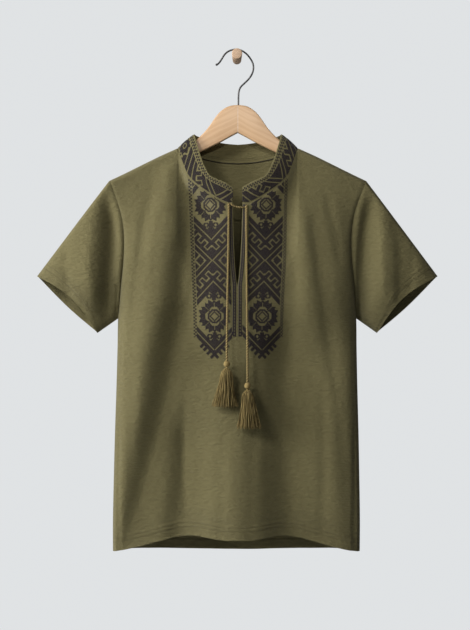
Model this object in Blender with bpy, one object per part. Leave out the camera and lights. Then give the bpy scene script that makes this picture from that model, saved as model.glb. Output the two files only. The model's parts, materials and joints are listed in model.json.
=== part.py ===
"""A short-sleeved vyshyvanka shirt on a wooden hanger, hung from a round wall peg.

Frame: metres, +Z up, +X to the right of someone who faces the shirt, +Y into the wall.
The origin is the centre of the peg's back face, where the peg meets the wall.

Each cut piece of the shirt is a thin closed wall. Its outer skin is a grid of points worked
out from the garment's sizes, and its inner skin is the same grid moved in by the cloth's
thickness. Pieces that are sewn together share their seam's points and stop SEAM_GAP apart.
"""
import math
from collections import namedtuple

import bmesh
import bpy
from mathutils import Vector

# ---- driving sizes ----
CLOTH = 0.0014            # wall of the body and the sleeves
COLLAR_CLOTH = 0.0022     # the collar is doubled
SEAM_GAP = 0.0003         # clear space between two pieces at a seam
CLEARANCE = 0.0003        # clear space between hard pieces that touch

HANGER_Y = -0.046         # plane of the hanger and of the shirt's side seams
SWAY = 0.0012             # the shirt hangs this far right at the shoulders and left at the hem

HEM_Z = -0.860            # side seam at the hem
UNDERARM_Z = -0.457
SHOULDER_Z = -0.218       # outer end of the shoulder seam
SHOULDER_X = 0.223
NECK_X = 0.1045           # where the shoulder seam meets the collar
NECK_Z = -0.1613

SIDE_PROFILE = 5.0        # how square the front-to-back section is at the sides
SIDE_FALL = 0.5
ARMHOLE_DEPTH = 0.018     # half the depth of the armhole at its middle
SHOULDER_ROUND = 0.0085   # the cloth rounds over the hanger's arm with this radius
FOLD_START = 0.03         # folds fade in over this length below the upper edge
SHOULDER_EASE = 0.17      # length over which the body fills out below the shoulder

SLIT_END_Z = -0.398       # bottom of the open neck slit
SLIT_CLOSED = 0.00075     # half width of the slit's last row

# ---- grid of the front and back ----
HALF_COLUMNS = 16
# the first columns end on the neckline, at these shares of its length, the rest on the shoulder
NECK_SHARES = (0.0, 0.14, 0.28, 0.42, 0.57, 0.71, 0.84, 0.94, 1.0)
NECK_COLUMNS = len(NECK_SHARES) - 1
LOWER_ROWS = 12
UPPER_ROWS = 12
EVEN_SPREAD = 0.45        # at the hem, this share of the columns' spacing is even
COLUMN_FAN = 0.6          # below 1, the columns fan out quickly under the upper edge
SHOULDER_ROWS = (0.0105, 0.025)   # extra rows close under the shoulder, as shares of the armhole

# ---- tables ----
Side = namedtuple("Side", "z half_width")
SIDES = (
    Side(-0.860, 0.2143), Side(-0.808, 0.2145), Side(-0.732, 0.2132), Side(-0.655, 0.2115),
    Side(-0.579, 0.2093), Side(-0.507, 0.2076), Side(-0.457, 0.2068), Side(-0.436, 0.2045),
    Side(-0.400, 0.2010), Side(-0.361, 0.1970), Side(-0.324, 0.1957), Side(-0.288, 0.1990),
    Side(-0.256, 0.2080), Side(-0.218, 0.2230),
)
Depth = namedtuple("Depth", "z front back")
DEPTHS = (
    Depth(-0.860, 0.0500, 0.0330), Depth(-0.700, 0.0560, 0.0320), Depth(-0.560, 0.0550, 0.0310),
    Depth(-0.457, 0.0490, 0.0300), Depth(-0.360, 0.0420, 0.0285), Depth(-0.250, 0.0350, 0.0270),
)
Hem = namedtuple("Hem", "x front_z back_z")
HEMS = (
    Hem(0.0000, -0.8360, -0.8625), Hem(0.0160, -0.8365, -0.8625), Hem(0.0360, -0.8335, -0.8620),
    Hem(0.0545, -0.8305, -0.8615), Hem(0.0775, -0.8325, -0.8610), Hem(0.1015, -0.8385, -0.8605),
    Hem(0.1365, -0.8480, -0.8600), Hem(0.1720, -0.8550, -0.8600), Hem(0.2143, -0.8600, -0.8600),
)
Shoulder = namedtuple("Shoulder", "x z")
SHOULDERS = (
    Shoulder(NECK_X, NECK_Z), Shoulder(0.1345, -0.1748), Shoulder(0.1625, -0.1885),
    Shoulder(0.1950, -0.2046), Shoulder(SHOULDER_X, SHOULDER_Z),
)
Neck = namedtuple("Neck", "x z depth")
FRONT_NECK = (
    Neck(0.0082, -0.2575, 0.0330), Neck(0.0180, -0.2580, 0.0330), Neck(0.0330, -0.2512, 0.0325),
    Neck(0.0530, -0.2384, 0.0300), Neck(0.0740, -0.2230, 0.0260), Neck(0.0875, -0.2080, 0.0205),
    Neck(0.0925, -0.1965, 0.0168), Neck(0.0984, -0.1813, 0.0122), Neck(0.1022, -0.1690, 0.0088),
    Neck(NECK_X, NECK_Z, 0.0),
)
BACK_NECK = (
    Neck(0.0000, -0.1868, 0.0280), Neck(0.0295, -0.1850, 0.0270), Neck(0.0575, -0.1800, 0.0225),
    Neck(0.0800, -0.1740, 0.0168), Neck(0.0985, -0.1650, 0.0088), Neck(NECK_X, NECK_Z, 0.0),
)
Slit = namedtuple("Slit", "z half_gap")
SLITS = (
    Slit(SLIT_END_Z, SLIT_CLOSED), Slit(-0.388, 0.0022), Slit(-0.360, 0.0046),
    Slit(-0.320, 0.0066), Slit(-0.257, 0.0082),
)
# A fold runs down through three places. It sinks in by its depth, and its two sides spread to
# their own widths, or to the same one. A ridge's depth is below zero.
Fold = namedtuple("Fold", "top_x top_z mid_x mid_z low_x low_z left_width depth right_width",
                  defaults=(None,))
FRONT_FOLDS = (
    Fold(-0.060, -0.140, -0.082, -0.350, -0.106, -0.540, 0.028, 0.0210, 0.040),
    Fold(-0.090, -0.410, -0.122, -0.610, -0.222, -0.970, 0.036, 0.0295, 0.150),
    Fold(-0.089, -0.590, -0.090, -0.720, -0.108, -0.960, 0.022, 0.0120, 0.070),
    Fold(-0.114, -0.170, -0.120, -0.215, -0.130, -0.290, 0.016, -0.0030),
    Fold(-0.030, -0.460, -0.026, -0.680, -0.024, -0.960, 0.036, -0.0040, 0.050),
    Fold(0.080, -0.200, 0.088, -0.380, 0.086, -0.580, 0.032, 0.0085, 0.022),
    Fold(0.101, -0.420, 0.088, -0.640, 0.102, -0.960, 0.048, 0.0310, 0.115),
    Fold(0.120, -0.215, 0.150, -0.440, 0.188, -0.680, 0.011, 0.0038, 0.022),
    Fold(0.176, -0.600, 0.190, -0.720, 0.198, -0.880, 0.014, 0.0040),
)
BACK_FOLDS = (
    Fold(-0.120, -0.240, -0.104, -0.520, -0.092, -0.900, 0.024, 0.0105, 0.050),
    Fold(-0.160, -0.420, -0.166, -0.600, -0.160, -0.900, 0.018, 0.0060, 0.030),
    Fold(0.112, -0.230, 0.118, -0.500, 0.140, -0.900, 0.048, 0.0110, 0.022),
    Fold(0.052, -0.420, 0.044, -0.650, 0.036, -0.900, 0.030, 0.0070, 0.020),
    Fold(-0.030, -0.300, -0.034, -0.600, -0.040, -0.900, 0.026, -0.0050, 0.040),
)
SLEEVE_FOLDS = {
    "left": {
        "front": (
            Fold(-0.217, -0.196, -0.219, -0.338, -0.226, -0.480, 0.017, 0.0150, 0.016),
            Fold(-0.252, -0.235, -0.256, -0.340, -0.254, -0.470, 0.028, -0.0045, 0.014),
        ),
        "back": (
            Fold(-0.236, -0.220, -0.240, -0.340, -0.238, -0.470, 0.014, 0.0050),
            Fold(-0.290, -0.290, -0.284, -0.370, -0.272, -0.470, 0.016, 0.0040),
        ),
    },
    "right": {
        "front": (
            Fold(0.229, -0.200, 0.219, -0.338, 0.212, -0.480, 0.012, 0.0125, 0.022),
            Fold(0.262, -0.240, 0.282, -0.330, 0.280, -0.450, 0.012, 0.0050, 0.024),
        ),
        "back": (
            Fold(0.238, -0.220, 0.242, -0.340, 0.240, -0.470, 0.014, 0.0055),
            Fold(0.292, -0.300, 0.288, -0.370, 0.276, -0.470, 0.016, 0.0035),
        ),
    },
}

# ---- sleeves ----
SLEEVE_RINGS = 8
CUFF_TOP = (0.3476, -0.3837)
CUFF_UNDER = (0.2425, -0.4820)
CUFF_DEPTH = {"front": 0.0235, "back": 0.0195}
CUFF_BOW = {"front": 0.0100, "back": -0.0040}    # the front edge draws in, the back edge drops
SLEEVE_CAP = 0.0042       # the sleeve's head stands up this far beside the shoulder
SLEEVE_FOLD_START = 0.16   # share of the sleeve over which its folds fade in
SLEEVE_FULL = 0.0095      # extra half depth at the middle of the sleeve

# ---- collar ----
COLLAR_ROWS = 4
COLLAR_BOW = 0.0012
NECK_TURN = 12            # the higher, the closer to the shoulder the neck seam turns over
# share runs along the neck seam: 0 at the front end, 1 at the shoulder, 2 at the centre back
Edge = namedtuple("Edge", "share x depth z")
COLLAR_EDGE = (
    Edge(0.00, 0.0080, -0.0355, -0.2320), Edge(0.12, 0.0215, -0.0365, -0.2240),
    Edge(0.28, 0.0365, -0.0358, -0.2175), Edge(0.42, 0.0482, -0.0335, -0.2110),
    Edge(0.55, 0.0562, -0.0290, -0.1970), Edge(0.68, 0.0634, -0.0232, -0.1790),
    Edge(0.80, 0.0692, -0.0165, -0.1600), Edge(0.91, 0.0737, -0.0095, -0.1440),
    Edge(1.00, 0.0759, -0.0020, -0.1372), Edge(1.12, 0.0722, 0.0090, -0.1385),
    Edge(1.35, 0.0575, 0.0190, -0.1430), Edge(1.60, 0.0375, 0.0262, -0.1475),
    Edge(1.80, 0.0188, 0.0292, -0.1503), Edge(2.00, 0.0000, 0.0300, -0.1518),
)

# ---- hanger, hook and peg ----
HANGER_X = 0.0015         # middle joint of the hanger
HANGER_HALF_THICKNESS = 0.0055
HANGER_SIDES = 12
Board = namedtuple("Board", "x top bottom")
HANGER_BOARD = (
    Board(0.000, -0.0865, -0.1346), Board(0.0095, -0.0872, -0.1396), Board(0.0190, -0.0900, -0.1448),
    Board(0.0275, -0.0954, -0.1496), Board(0.0345, -0.1020, -0.1532), Board(0.0417, -0.1115, -0.1568),
    Board(0.0480, -0.1210, -0.1600), Board(0.0545, -0.1295, -0.1632), Board(0.0622, -0.1378, -0.1670),
    Board(0.0700, -0.1448, -0.1708), Board(0.0850, -0.1560, -0.1782), Board(0.1045, -0.1672, -0.1880),
    Board(0.1345, -0.1790, -0.2010), Board(0.1625, -0.1922, -0.2130), Board(0.1900, -0.2057, -0.2235),
    Board(0.2020, -0.2120, -0.2270), Board(0.2085, -0.2168, -0.2268), Board(0.2110, -0.2200, -0.2240),
)
WIRE = 0.0030
PEG_LENGTH = 0.066
PEG_WALL_RADIUS = 0.0077
PEG_FRONT_RADIUS = 0.0090
PEG_BEVEL = 0.0010
PEG_SIDES = 32
Bend = namedtuple("Bend", "x z")
HOOK_LINE = (
    Bend(-0.0373, -0.0170), Bend(-0.0322, -0.0142), Bend(-0.0272, -0.0075), Bend(-0.0224, 0.0002),
    Bend(-0.0168, 0.0058), Bend(-0.0095, 0.0092), Bend(-0.0010, 0.0106), Bend(0.0080, 0.0084),
    Bend(0.0160, 0.0030), Bend(0.0225, -0.0045), Bend(0.0270, -0.0125), Bend(0.0286, -0.0210),
    Bend(0.0268, -0.0305), Bend(0.0215, -0.0397), Bend(0.0135, -0.0480), Bend(0.0066, -0.0548),
    Bend(0.0034, -0.0620), Bend(0.0026, -0.0700), Bend(0.0024, -0.0862),
)
HOOK_POINTS = 34

# ---- cords, beads and tassels ----
CORD = 0.0038
BRIDGE_CORD = 0.0030
CORD_OFF_CLOTH = 0.0008   # clear space between a cord and the front
CORD_STEP = 0.0095
BEAD_RADIUS = 0.0055
BEAD_OFF_CLOTH = 0.0130   # the bead's centre stands this far in front of the front
Hang = namedtuple("Hang", "side top_x low_x top_z bead_z tassel_shift")
HANGS = (
    Hang("left", -0.0142, -0.0174, -0.2590, -0.5343, -0.0030),
    Hang("right", 0.0160, 0.0178, -0.2620, -0.5712, 0.0034),
)
TASSEL_HEAD_TOP = 0.0032
TASSEL_HEAD_RADIUS = 0.0064
TASSEL_HEAD_HEIGHT = 0.0110
TASSEL_SKIRT = 0.0560
TASSEL_WIDE = 3.1         # how far the strands spread sideways
TASSEL_FORWARD = 1.9      # and towards the viewer
TASSEL_BACK = 1.0         # and towards the cloth
STRAND_INSET = 0.00024
STRAND_UNEVEN = 0.07      # the strands' lengths differ by up to this share either way
STRAND_STEPS = ((0.45, 0.62), (1.0, 1.0))    # share of the length, share of the spread

# ---- finishes: colour, roughness, metallic ----
FINISHES = {
    "cloth": ((0.150, 0.130, 0.062), 0.92, 0.0),
    "wood": ((0.680, 0.440, 0.250), 0.45, 0.0),
    "steel": ((0.060, 0.060, 0.065), 0.35, 1.0),
    "cord": ((0.280, 0.200, 0.080), 0.80, 0.0),
}


# ---- small helpers ----
def clear_scene():
    for thing in list(bpy.data.objects):
        bpy.data.objects.remove(thing, do_unlink=True)


def smooth_curve(keys, values):
    """A smooth function through the values at the rising keys, held level beyond them."""
    last = len(keys) - 1
    slopes = []
    for i in range(last + 1):
        before, after = max(i - 1, 0), min(i + 1, last)
        slopes.append((values[after] - values[before]) / (keys[after] - keys[before]))

    def value(key):
        key = min(max(key, keys[0]), keys[last])
        i = max(n for n in range(last) if keys[n] <= key)
        span = keys[i + 1] - keys[i]
        t = (key - keys[i]) / span
        rise = (3 - 2 * t) * t * t
        lead = t * (1 - t) * ((1 - t) * slopes[i] - t * slopes[i + 1]) * span
        return values[i] + (values[i + 1] - values[i]) * rise + lead

    return value


def column_of(table, name):
    return [getattr(row, name) for row in table]


def table_curve(table, key, value):
    return smooth_curve(column_of(table, key), column_of(table, value))


def ease(t):
    t = min(max(t, 0.0), 1.0)
    return t * t * (3 - 2 * t)


def mix(a, b, t):
    return a + (b - a) * t


def stations(curve, start, end, shares):
    """Places x along a curve z(x) at the given shares of its length."""
    steps = 200
    xs = [mix(start, end, n / steps) for n in range(steps + 1)]
    lengths = [0.0]
    for a, b in zip(xs, xs[1:]):
        lengths.append(lengths[-1] + math.hypot(b - a, curve(b) - curve(a)))
    place = smooth_curve(lengths, xs)
    return [place(lengths[-1] * share) for share in shares]


# ---- shape of the body ----
side_width = table_curve(SIDES, "z", "half_width")
shoulder_line = table_curve(SHOULDERS, "x", "z")
slit_gap = table_curve(SLITS, "z", "half_gap")
NECKS = {"front": FRONT_NECK, "back": BACK_NECK}
neck_line = {face: table_curve(table, "x", "z") for face, table in NECKS.items()}
neck_depth = {face: table_curve(table, "x", "depth") for face, table in NECKS.items()}
body_depth = {face: table_curve(DEPTHS, "z", face) for face in NECKS}
hem_line = {face: table_curve(HEMS, "x", face + "_z") for face in NECKS}
BODY_FOLDS = {"front": FRONT_FOLDS, "back": BACK_FOLDS}
FACING = {"front": -1, "back": 1}


def sway(z):
    return SWAY * (1 - 2 * (SHOULDER_Z - z) / (SHOULDER_Z - HEM_Z))


def armhole_share(z):
    """0 at the shoulder's end, 1 at the underarm."""
    return min(max((SHOULDER_Z - z) / (SHOULDER_Z - UNDERARM_Z), 0.0), 1.0)


def top_line(face, x):
    """Height of the piece's upper edge: the neckline, then the shoulder."""
    return neck_line[face](x) if x < NECK_X else shoulder_line(x)


def fold_sink(folds, x, z):
    """How far the folds draw the cloth in at a place."""
    sink = 0.0
    for fold in folds:
        if fold.low_z < z < fold.top_z:
            line = smooth_curve((fold.low_z, fold.mid_z, fold.top_z),
                                (fold.low_x, fold.mid_x, fold.top_x))
            away = x - line(z)
            width = fold.left_width if away < 0 else fold.right_width or fold.left_width
            length = fold.top_z - fold.low_z
            fade = min((fold.top_z - z) / length, (z - fold.low_z) / length) * 4
            sink += fold.depth * math.exp(-(away / width) ** 2) * ease(fade)
    return sink


def panel_depth(face, side, x, z):
    """Distance of the outer skin from the hanger's plane; x is measured from the middle."""
    share = min(x / side_width(z), 1.0)
    fullness = (1 - share ** SIDE_PROFILE) ** SIDE_FALL
    t = armhole_share(z)
    bow = 4 * t * (1 - t)
    seam = ARMHOLE_DEPTH * (math.sqrt(bow) if t < 0.5 else bow) * share ** 4
    full = mix(seam, body_depth[face](z), fullness)
    below = max(top_line(face, x) - z, 0.0)
    dip = max(SHOULDER_ROUND - below, 0.0)
    over_arm = math.sqrt(SHOULDER_ROUND ** 2 - dip ** 2)
    edge = neck_depth[face](x) if x < NECK_X else 0.0
    upper = edge + over_arm * max(1 - edge / SHOULDER_ROUND, 0.0)
    depth = mix(upper, full, ease(below / SHOULDER_EASE))
    calm = (1 - share ** 8) * ease(below / FOLD_START)
    return depth - fold_sink(BODY_FOLDS[face], side * x, z) * calm


def row_shares():
    """Heights of the rows of points, as shares of the side from hem to shoulder."""
    underarm = (UNDERARM_Z - HEM_Z) / (SHOULDER_Z - HEM_Z)
    lower = [underarm * n / LOWER_ROWS for n in range(LOWER_ROWS)]
    spread = [(n / UPPER_ROWS + (1 - math.cos(math.pi * n / UPPER_ROWS)) / 2) / 2
              for n in range(UPPER_ROWS)]
    near_top = [1 - share for share in reversed(SHOULDER_ROWS)]
    upper = [mix(underarm, 1.0, share) for share in spread + near_top + [1.0]]
    return lower + upper


ROWS = row_shares()
UNDERARM_ROW = LOWER_ROWS


def top_stations(face):
    """x of each column on the upper edge, from the middle to the shoulder's end."""
    table = NECKS[face]
    neck = stations(neck_line[face], table[0].x, NECK_X, NECK_SHARES)
    across = HALF_COLUMNS - NECK_COLUMNS
    return neck + [mix(NECK_X, SHOULDER_X, n / across) for n in range(1, across + 1)]


TOP_X = {face: top_stations(face) for face in NECKS}


def column_x(face, column, share, z):
    """x of a column at a row: spread by angle at the hem and along the edge at the top."""
    u = column / HALF_COLUMNS
    spread = mix(math.sin(math.pi * u / 2), u, EVEN_SPREAD)
    rise = 1 - armhole_share(mix(HEM_Z, SHOULDER_Z, share)) ** COLUMN_FAN
    side = side_width(mix(HEM_Z, SHOULDER_Z, share))
    draw_in = 1 - (1 - side / SHOULDER_X) * u ** 4
    x = mix(side * spread, TOP_X[face][column] * draw_in, rise)
    if face == "front":
        x += (slit_gap(z) - TOP_X[face][0] * rise) * (1 - u) ** 4
    return x


def panel_point(face, side, column, share):
    """A point of a panel's outer skin, before the seam gap is taken off."""
    rough_x = side_width(mix(HEM_Z, SHOULDER_Z, share)) * column / HALF_COLUMNS
    hem = hem_line[face](rough_x)
    top_x = TOP_X[face][column]
    z = mix(hem, top_line(face, top_x), share)
    x = top_x if share == 1.0 else column_x(face, column, share, z)
    depth = panel_depth(face, side, x, z) + SEAM_GAP / 2
    return Vector((side * x + sway(z), HANGER_Y + FACING[face] * depth, z))


# ---- seam directions: "into" goes through the cloth, "across" goes over the seam ----
def armhole_into(side, facing, t):
    turn = math.pi * t
    return Vector((-0.6 * side * math.cos(turn) ** 2, -facing * math.sin(turn),
                   -0.8 * math.cos(turn))).normalized()


def armhole_across(side, t):
    turn = math.pi * t
    return Vector((side * (0.8 + 0.2 * math.sin(turn)), 0, -0.6 * math.cos(turn))).normalized()


def neck_turn(share):
    """0 along the front neck, a right angle at the shoulder, a half turn along the back."""
    near = min(share, 2 - share) ** NECK_TURN
    return math.pi / 2 * (near if share <= 1 else 2 - near)


def neck_into(side, share):
    turn = neck_turn(share)
    return Vector((-0.53 * side * math.sin(turn), math.cos(turn),
                   -0.85 * math.sin(turn))).normalized()


def neck_seam_point(face, side, column):
    x = TOP_X[face][column]
    return Vector((side * x, FACING[face] * neck_depth[face](x), neck_line[face](x)))


def neck_across(face, side, column):
    """Square to the neck seam and to its own direction through the cloth, towards the collar."""
    before = neck_seam_point(face, side, max(column - 1, 0))
    after = neck_seam_point(face, side, min(column + 1, NECK_COLUMNS))
    if column == NECK_COLUMNS:
        before = neck_seam_point("back", side, column - 1)
        after = neck_seam_point("front", side, column - 1)
    across = (after - before).cross(neck_into(side, neck_share(face, column))).normalized()
    return across if across.z > 0 else -across


def shoulder_into(side, share):
    return Vector((side * mix(-0.53, -0.6, share), 0, mix(-0.85, -0.8, share))).normalized()


def neck_share(face, column):
    """Place on the neck seam: 0 front end, 1 shoulder, 2 centre back."""
    share = NECK_SHARES[column]
    return share if face == "front" else 2 - share


# ---- walls ----
def skin_normals(grid, wraps):
    """Unit normals of a grid of points, from the neighbours of each."""
    rows, columns = len(grid), len(grid[0])
    normals = []
    for r in range(rows):
        line = []
        for c in range(columns):
            up = grid[min(r + 1, rows - 1)][c] - grid[max(r - 1, 0)][c]
            after = (c + 1) % columns if wraps else min(c + 1, columns - 1)
            before = (c - 1) % columns if wraps else max(c - 1, 0)
            line.append((grid[r][after] - grid[r][before]).cross(up).normalized())
        normals.append(line)
    return normals


def inner_skin(outer, thickness, turn, wraps, seam_into):
    """The grid moved in by the thickness, along the seam's own direction at a seam."""
    normals = skin_normals(outer, wraps)
    into = [[seam_into(r, c) or normals[r][c] * turn for c in range(len(row))]
            for r, row in enumerate(outer)]
    top = len(outer) - 1
    inner = []
    for r, row in enumerate(outer):
        line = []
        for c, point in enumerate(row):
            way = into[r][c]
            if not seam_into(r, c):
                way = (way * 2 + into[min(r + 1, top)][c] + into[max(r - 1, 0)][c]).normalized()
            line.append(point + way * thickness)
        inner.append(line)
    return inner


def wall_object(name, outer, inner, finish, wraps=False, is_open=None):
    """A closed wall between two skins; is_open(row, column) leaves cells out of it."""
    mesh = bmesh.new()
    skins = [[[mesh.verts.new(point) for point in row] for row in grid] for grid in (outer, inner)]
    rows = len(outer) - 1
    columns = len(outer[0]) - (0 if wraps else 1)
    width = len(outer[0])

    def kept(r, c):
        if wraps:
            c %= columns
        return 0 <= r < rows and 0 <= c < columns and not (is_open and is_open(r, c))

    for r in range(rows):
        for c in range(columns):
            if not kept(r, c):
                continue
            d = (c + 1) % width
            corners = ((r, c), (r, d), (r + 1, d), (r + 1, c))
            mesh.faces.new([skins[0][i][j] for i, j in corners])
            mesh.faces.new([skins[1][i][j] for i, j in reversed(corners)])
            beside = (kept(r - 1, c), kept(r, c + 1), kept(r + 1, c), kept(r, c - 1))
            for n, has_neighbour in enumerate(beside):
                if not has_neighbour:
                    (i, j), (k, l) = corners[n], corners[(n + 1) % 4]
                    mesh.faces.new((skins[0][k][l], skins[0][i][j], skins[1][i][j], skins[1][k][l]))
    return mesh_object(name, mesh, finish)


def mesh_object(name, mesh, finish):
    """An object from a bmesh, with its loose points dropped and its faces turned out."""
    loose = [vert for vert in mesh.verts if not vert.link_faces]
    bmesh.ops.delete(mesh, geom=loose, context="VERTS")
    bmesh.ops.recalc_face_normals(mesh, faces=mesh.faces)
    if mesh.calc_volume(signed=True) < 0:
        bmesh.ops.reverse_faces(mesh, faces=mesh.faces)
    data = bpy.data.meshes.new(name)
    mesh.to_mesh(data)
    mesh.free()
    data.shade_smooth()
    thing = bpy.data.objects.new(name, data)
    finish_object(thing, finish)
    return thing


def finish_object(thing, finish):
    """Give the object its own material and put it in the shirt's collection."""
    colour, roughness, metallic = FINISHES[finish]
    material = bpy.data.materials.new(thing.name + "_" + finish)
    material.use_nodes = True
    shader = material.node_tree.nodes["Principled BSDF"]
    shader.inputs["Base Color"].default_value = (*colour, 1.0)
    shader.inputs["Roughness"].default_value = roughness
    shader.inputs["Metallic"].default_value = metallic
    thing.data.materials.append(material)
    COLLECTION.objects.link(thing)


# ---- the shirt's pieces ----
def panel(face):
    """The front or the back, from the left side seam to the right one."""
    left = [(-1, n) for n in range(HALF_COLUMNS, -1, -1)]
    right = [(1, n) for n in range(HALF_COLUMNS + 1)]
    # the front has a column on each side of its slit, and the back one in its middle
    halves = left + right if face == "front" else left[:-1] + right
    top = len(ROWS) - 1

    def seam_into(r, c):
        side, column = halves[c]
        if r == top and column <= NECK_COLUMNS:
            return neck_into(side, neck_share(face, column))
        if r == top and column < HALF_COLUMNS:
            across = (column - NECK_COLUMNS) / (HALF_COLUMNS - NECK_COLUMNS)
            return shoulder_into(side, across)
        if column == HALF_COLUMNS and r >= UNDERARM_ROW:
            t = armhole_share(mix(HEM_Z, SHOULDER_Z, ROWS[r]))
            return armhole_into(side, FACING[face], t)
        if column == HALF_COLUMNS:
            return Vector((-side, 0, 0))
        return None

    outer = []
    for r, share in enumerate(ROWS):
        line = []
        for side, column in halves:
            point = panel_point(face, side, column, share)
            if r == top and column <= NECK_COLUMNS:
                point -= neck_across(face, side, column) * SEAM_GAP / 2
            if column == HALF_COLUMNS and r >= UNDERARM_ROW:
                t = armhole_share(mix(HEM_Z, SHOULDER_Z, share))
                point -= armhole_across(side, t) * SEAM_GAP / 2
            line.append(point)
        outer.append(line)

    def in_slit(r, c):
        return c == HALF_COLUMNS and mix(HEMS[0].front_z, FRONT_NECK[0].z, ROWS[r]) > SLIT_END_Z

    inner = inner_skin(outer, CLOTH, FACING[face], False, seam_into)
    return wall_object(face, outer, inner, "cloth", is_open=in_slit if face == "front" else None)


def sleeve_point(side_name, side, reach, t, face):
    """A point of a sleeve: reach runs from armhole to cuff, t from the top to the underarm."""
    z = mix(SHOULDER_Z, UNDERARM_Z, t)
    x = side_width(z)
    along = Vector((CUFF_UNDER[0] - CUFF_TOP[0], CUFF_UNDER[1] - CUFF_TOP[1]))
    inward = Vector((along.y, -along.x)).normalized()
    cuff = Vector(CUFF_TOP) + along * t + inward * CUFF_BOW[face] * math.sin(math.pi * t)
    flat = Vector((x, z)).lerp(cuff, reach)
    cap = SLEEVE_CAP * (1 - reach) * (1 - (1 - reach) ** 8) * (1 - t) ** 3
    flat -= inward * cap
    if t in (0.0, 1.0):
        return Vector((side * flat.x + sway(flat.y), HANGER_Y, flat.y))
    oval = math.sqrt(4 * t * (1 - t)) ** 0.8
    depth = mix(panel_depth(face, side, x, z) + SEAM_GAP / 2, CUFF_DEPTH[face] * oval, reach)
    depth += SLEEVE_FULL * math.sin(math.pi * reach) * oval
    sink = fold_sink(SLEEVE_FOLDS[side_name][face], side * flat.x, flat.y)
    depth -= sink * ease(reach / SLEEVE_FOLD_START) * oval
    return Vector((side * flat.x + sway(flat.y), HANGER_Y + FACING[face] * depth, flat.y))


def sleeve(side_name, side):
    """One sleeve: rings from the armhole out to the cuff."""
    falls = [armhole_share(mix(HEM_Z, SHOULDER_Z, share)) for share in ROWS[UNDERARM_ROW:]]
    falls = [0.0] + falls[-2:0:-1] + [1.0]
    places = [("front", t) for t in falls] + [("back", t) for t in falls[-2:0:-1]]
    outer = []
    for ring in range(SLEEVE_RINGS + 1):
        reach = ring / SLEEVE_RINGS
        line = [sleeve_point(side_name, side, reach, t, face) for face, t in places]
        if ring == 0:
            line = [point + armhole_across(side, t) * SEAM_GAP / 2
                    for point, (face, t) in zip(line, places)]
        outer.append(line)

    def seam_into(r, c):
        face, t = places[c]
        return armhole_into(side, FACING[face], t) if r == 0 else None

    inner = inner_skin(outer, CLOTH, -side, True, seam_into)
    return wall_object("sleeve_" + side_name, outer, inner, "cloth", wraps=True)


def collar():
    """The stand collar: a band from one front end, round the back, to the other."""
    front = [("front", n) for n in range(NECK_COLUMNS + 1)]
    back = [("back", n) for n in range(NECK_COLUMNS - 1, -1, -1)]
    half = front + back
    sections = [(-1, *place) for place in half] + [(1, *place) for place in half[-2::-1]]
    edge = {name: table_curve(COLLAR_EDGE, "share", name) for name in ("x", "depth", "z")}
    outer = [[] for _ in range(COLLAR_ROWS + 1)]
    for side, face, column in sections:
        share = neck_share(face, column)
        base = panel_point(face, side, column, 1.0)
        if column == NECK_COLUMNS:
            base.y = HANGER_Y
        base += neck_across(face, side, column) * SEAM_GAP / 2
        tip_z = edge["z"](share)
        tip = Vector((side * edge["x"](share) + sway(tip_z), HANGER_Y + edge["depth"](share), tip_z))
        out = -neck_into(side, share)
        for r in range(COLLAR_ROWS + 1):
            rise = r / COLLAR_ROWS
            bow = COLLAR_BOW * math.sin(math.pi * rise)
            outer[r].append(base.lerp(tip, rise) + out * bow)

    def seam_into(r, c):
        side, face, column = sections[c]
        return neck_into(side, neck_share(face, column)) if r == 0 else None

    inner = inner_skin(outer, COLLAR_CLOTH, 1, False, seam_into)
    return wall_object("collar", outer, inner, "cloth")


# ---- hanger, hook and peg ----
def hanger_half(side_name, side):
    """One arm of the hanger: rounded board sections from the middle joint to the tip."""
    mesh = bmesh.new()
    rings = []
    for board in HANGER_BOARD:
        x = HANGER_X + side * max(board.x, CLEARANCE / 2)
        half = (board.top - board.bottom) / 2
        rounding = min(HANGER_HALF_THICKNESS, half)
        ring = []
        for n in range(HANGER_SIDES):
            angle = 2 * math.pi * (n + 0.5) / HANGER_SIDES
            y = HANGER_Y + rounding * math.cos(angle)
            end = board.top - rounding if math.sin(angle) > 0 else board.bottom + rounding
            ring.append(mesh.verts.new((x, y, end + rounding * math.sin(angle))))
        rings.append(ring)
    for ring, beyond in zip(rings, rings[1:]):
        for n in range(HANGER_SIDES):
            m = (n + 1) % HANGER_SIDES
            mesh.faces.new((ring[n], ring[m], beyond[m], beyond[n]))
    mesh.faces.new(rings[0])
    mesh.faces.new(rings[-1])
    return mesh_object("hanger_" + side_name, mesh, "wood")


def smooth_path(points, count):
    """Evenly spaced places on a smooth curve through the points."""
    lengths = [0.0]
    for a, b in zip(points, points[1:]):
        lengths.append(lengths[-1] + (b - a).length)
    axes = [smooth_curve(lengths, [point[n] for point in points]) for n in range(3)]
    spots = [lengths[-1] * n / (count - 1) for n in range(count)]
    return [Vector((axes[0](s), axes[1](s), axes[2](s))) for s in spots]


def tube(name, points, diameter, finish):
    """A round wire or cord along the points, with flat caps."""
    data = bpy.data.curves.new(name, "CURVE")
    data.dimensions = "3D"
    data.bevel_depth = diameter / 2
    data.bevel_resolution = 2
    data.use_fill_caps = True
    spline = data.splines.new("POLY")
    spline.points.add(len(points) - 1)
    for spot, point in zip(spline.points, points):
        spot.co = (*point, 1.0)
    thing = bpy.data.objects.new(name, data)
    finish_object(thing, finish)
    return thing


def hanger_hook():
    points = [Vector((bend.x, HANGER_Y, bend.z)) for bend in HOOK_LINE]
    return tube("hanger_hook", smooth_path(points, HOOK_POINTS), WIRE, "steel")


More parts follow.
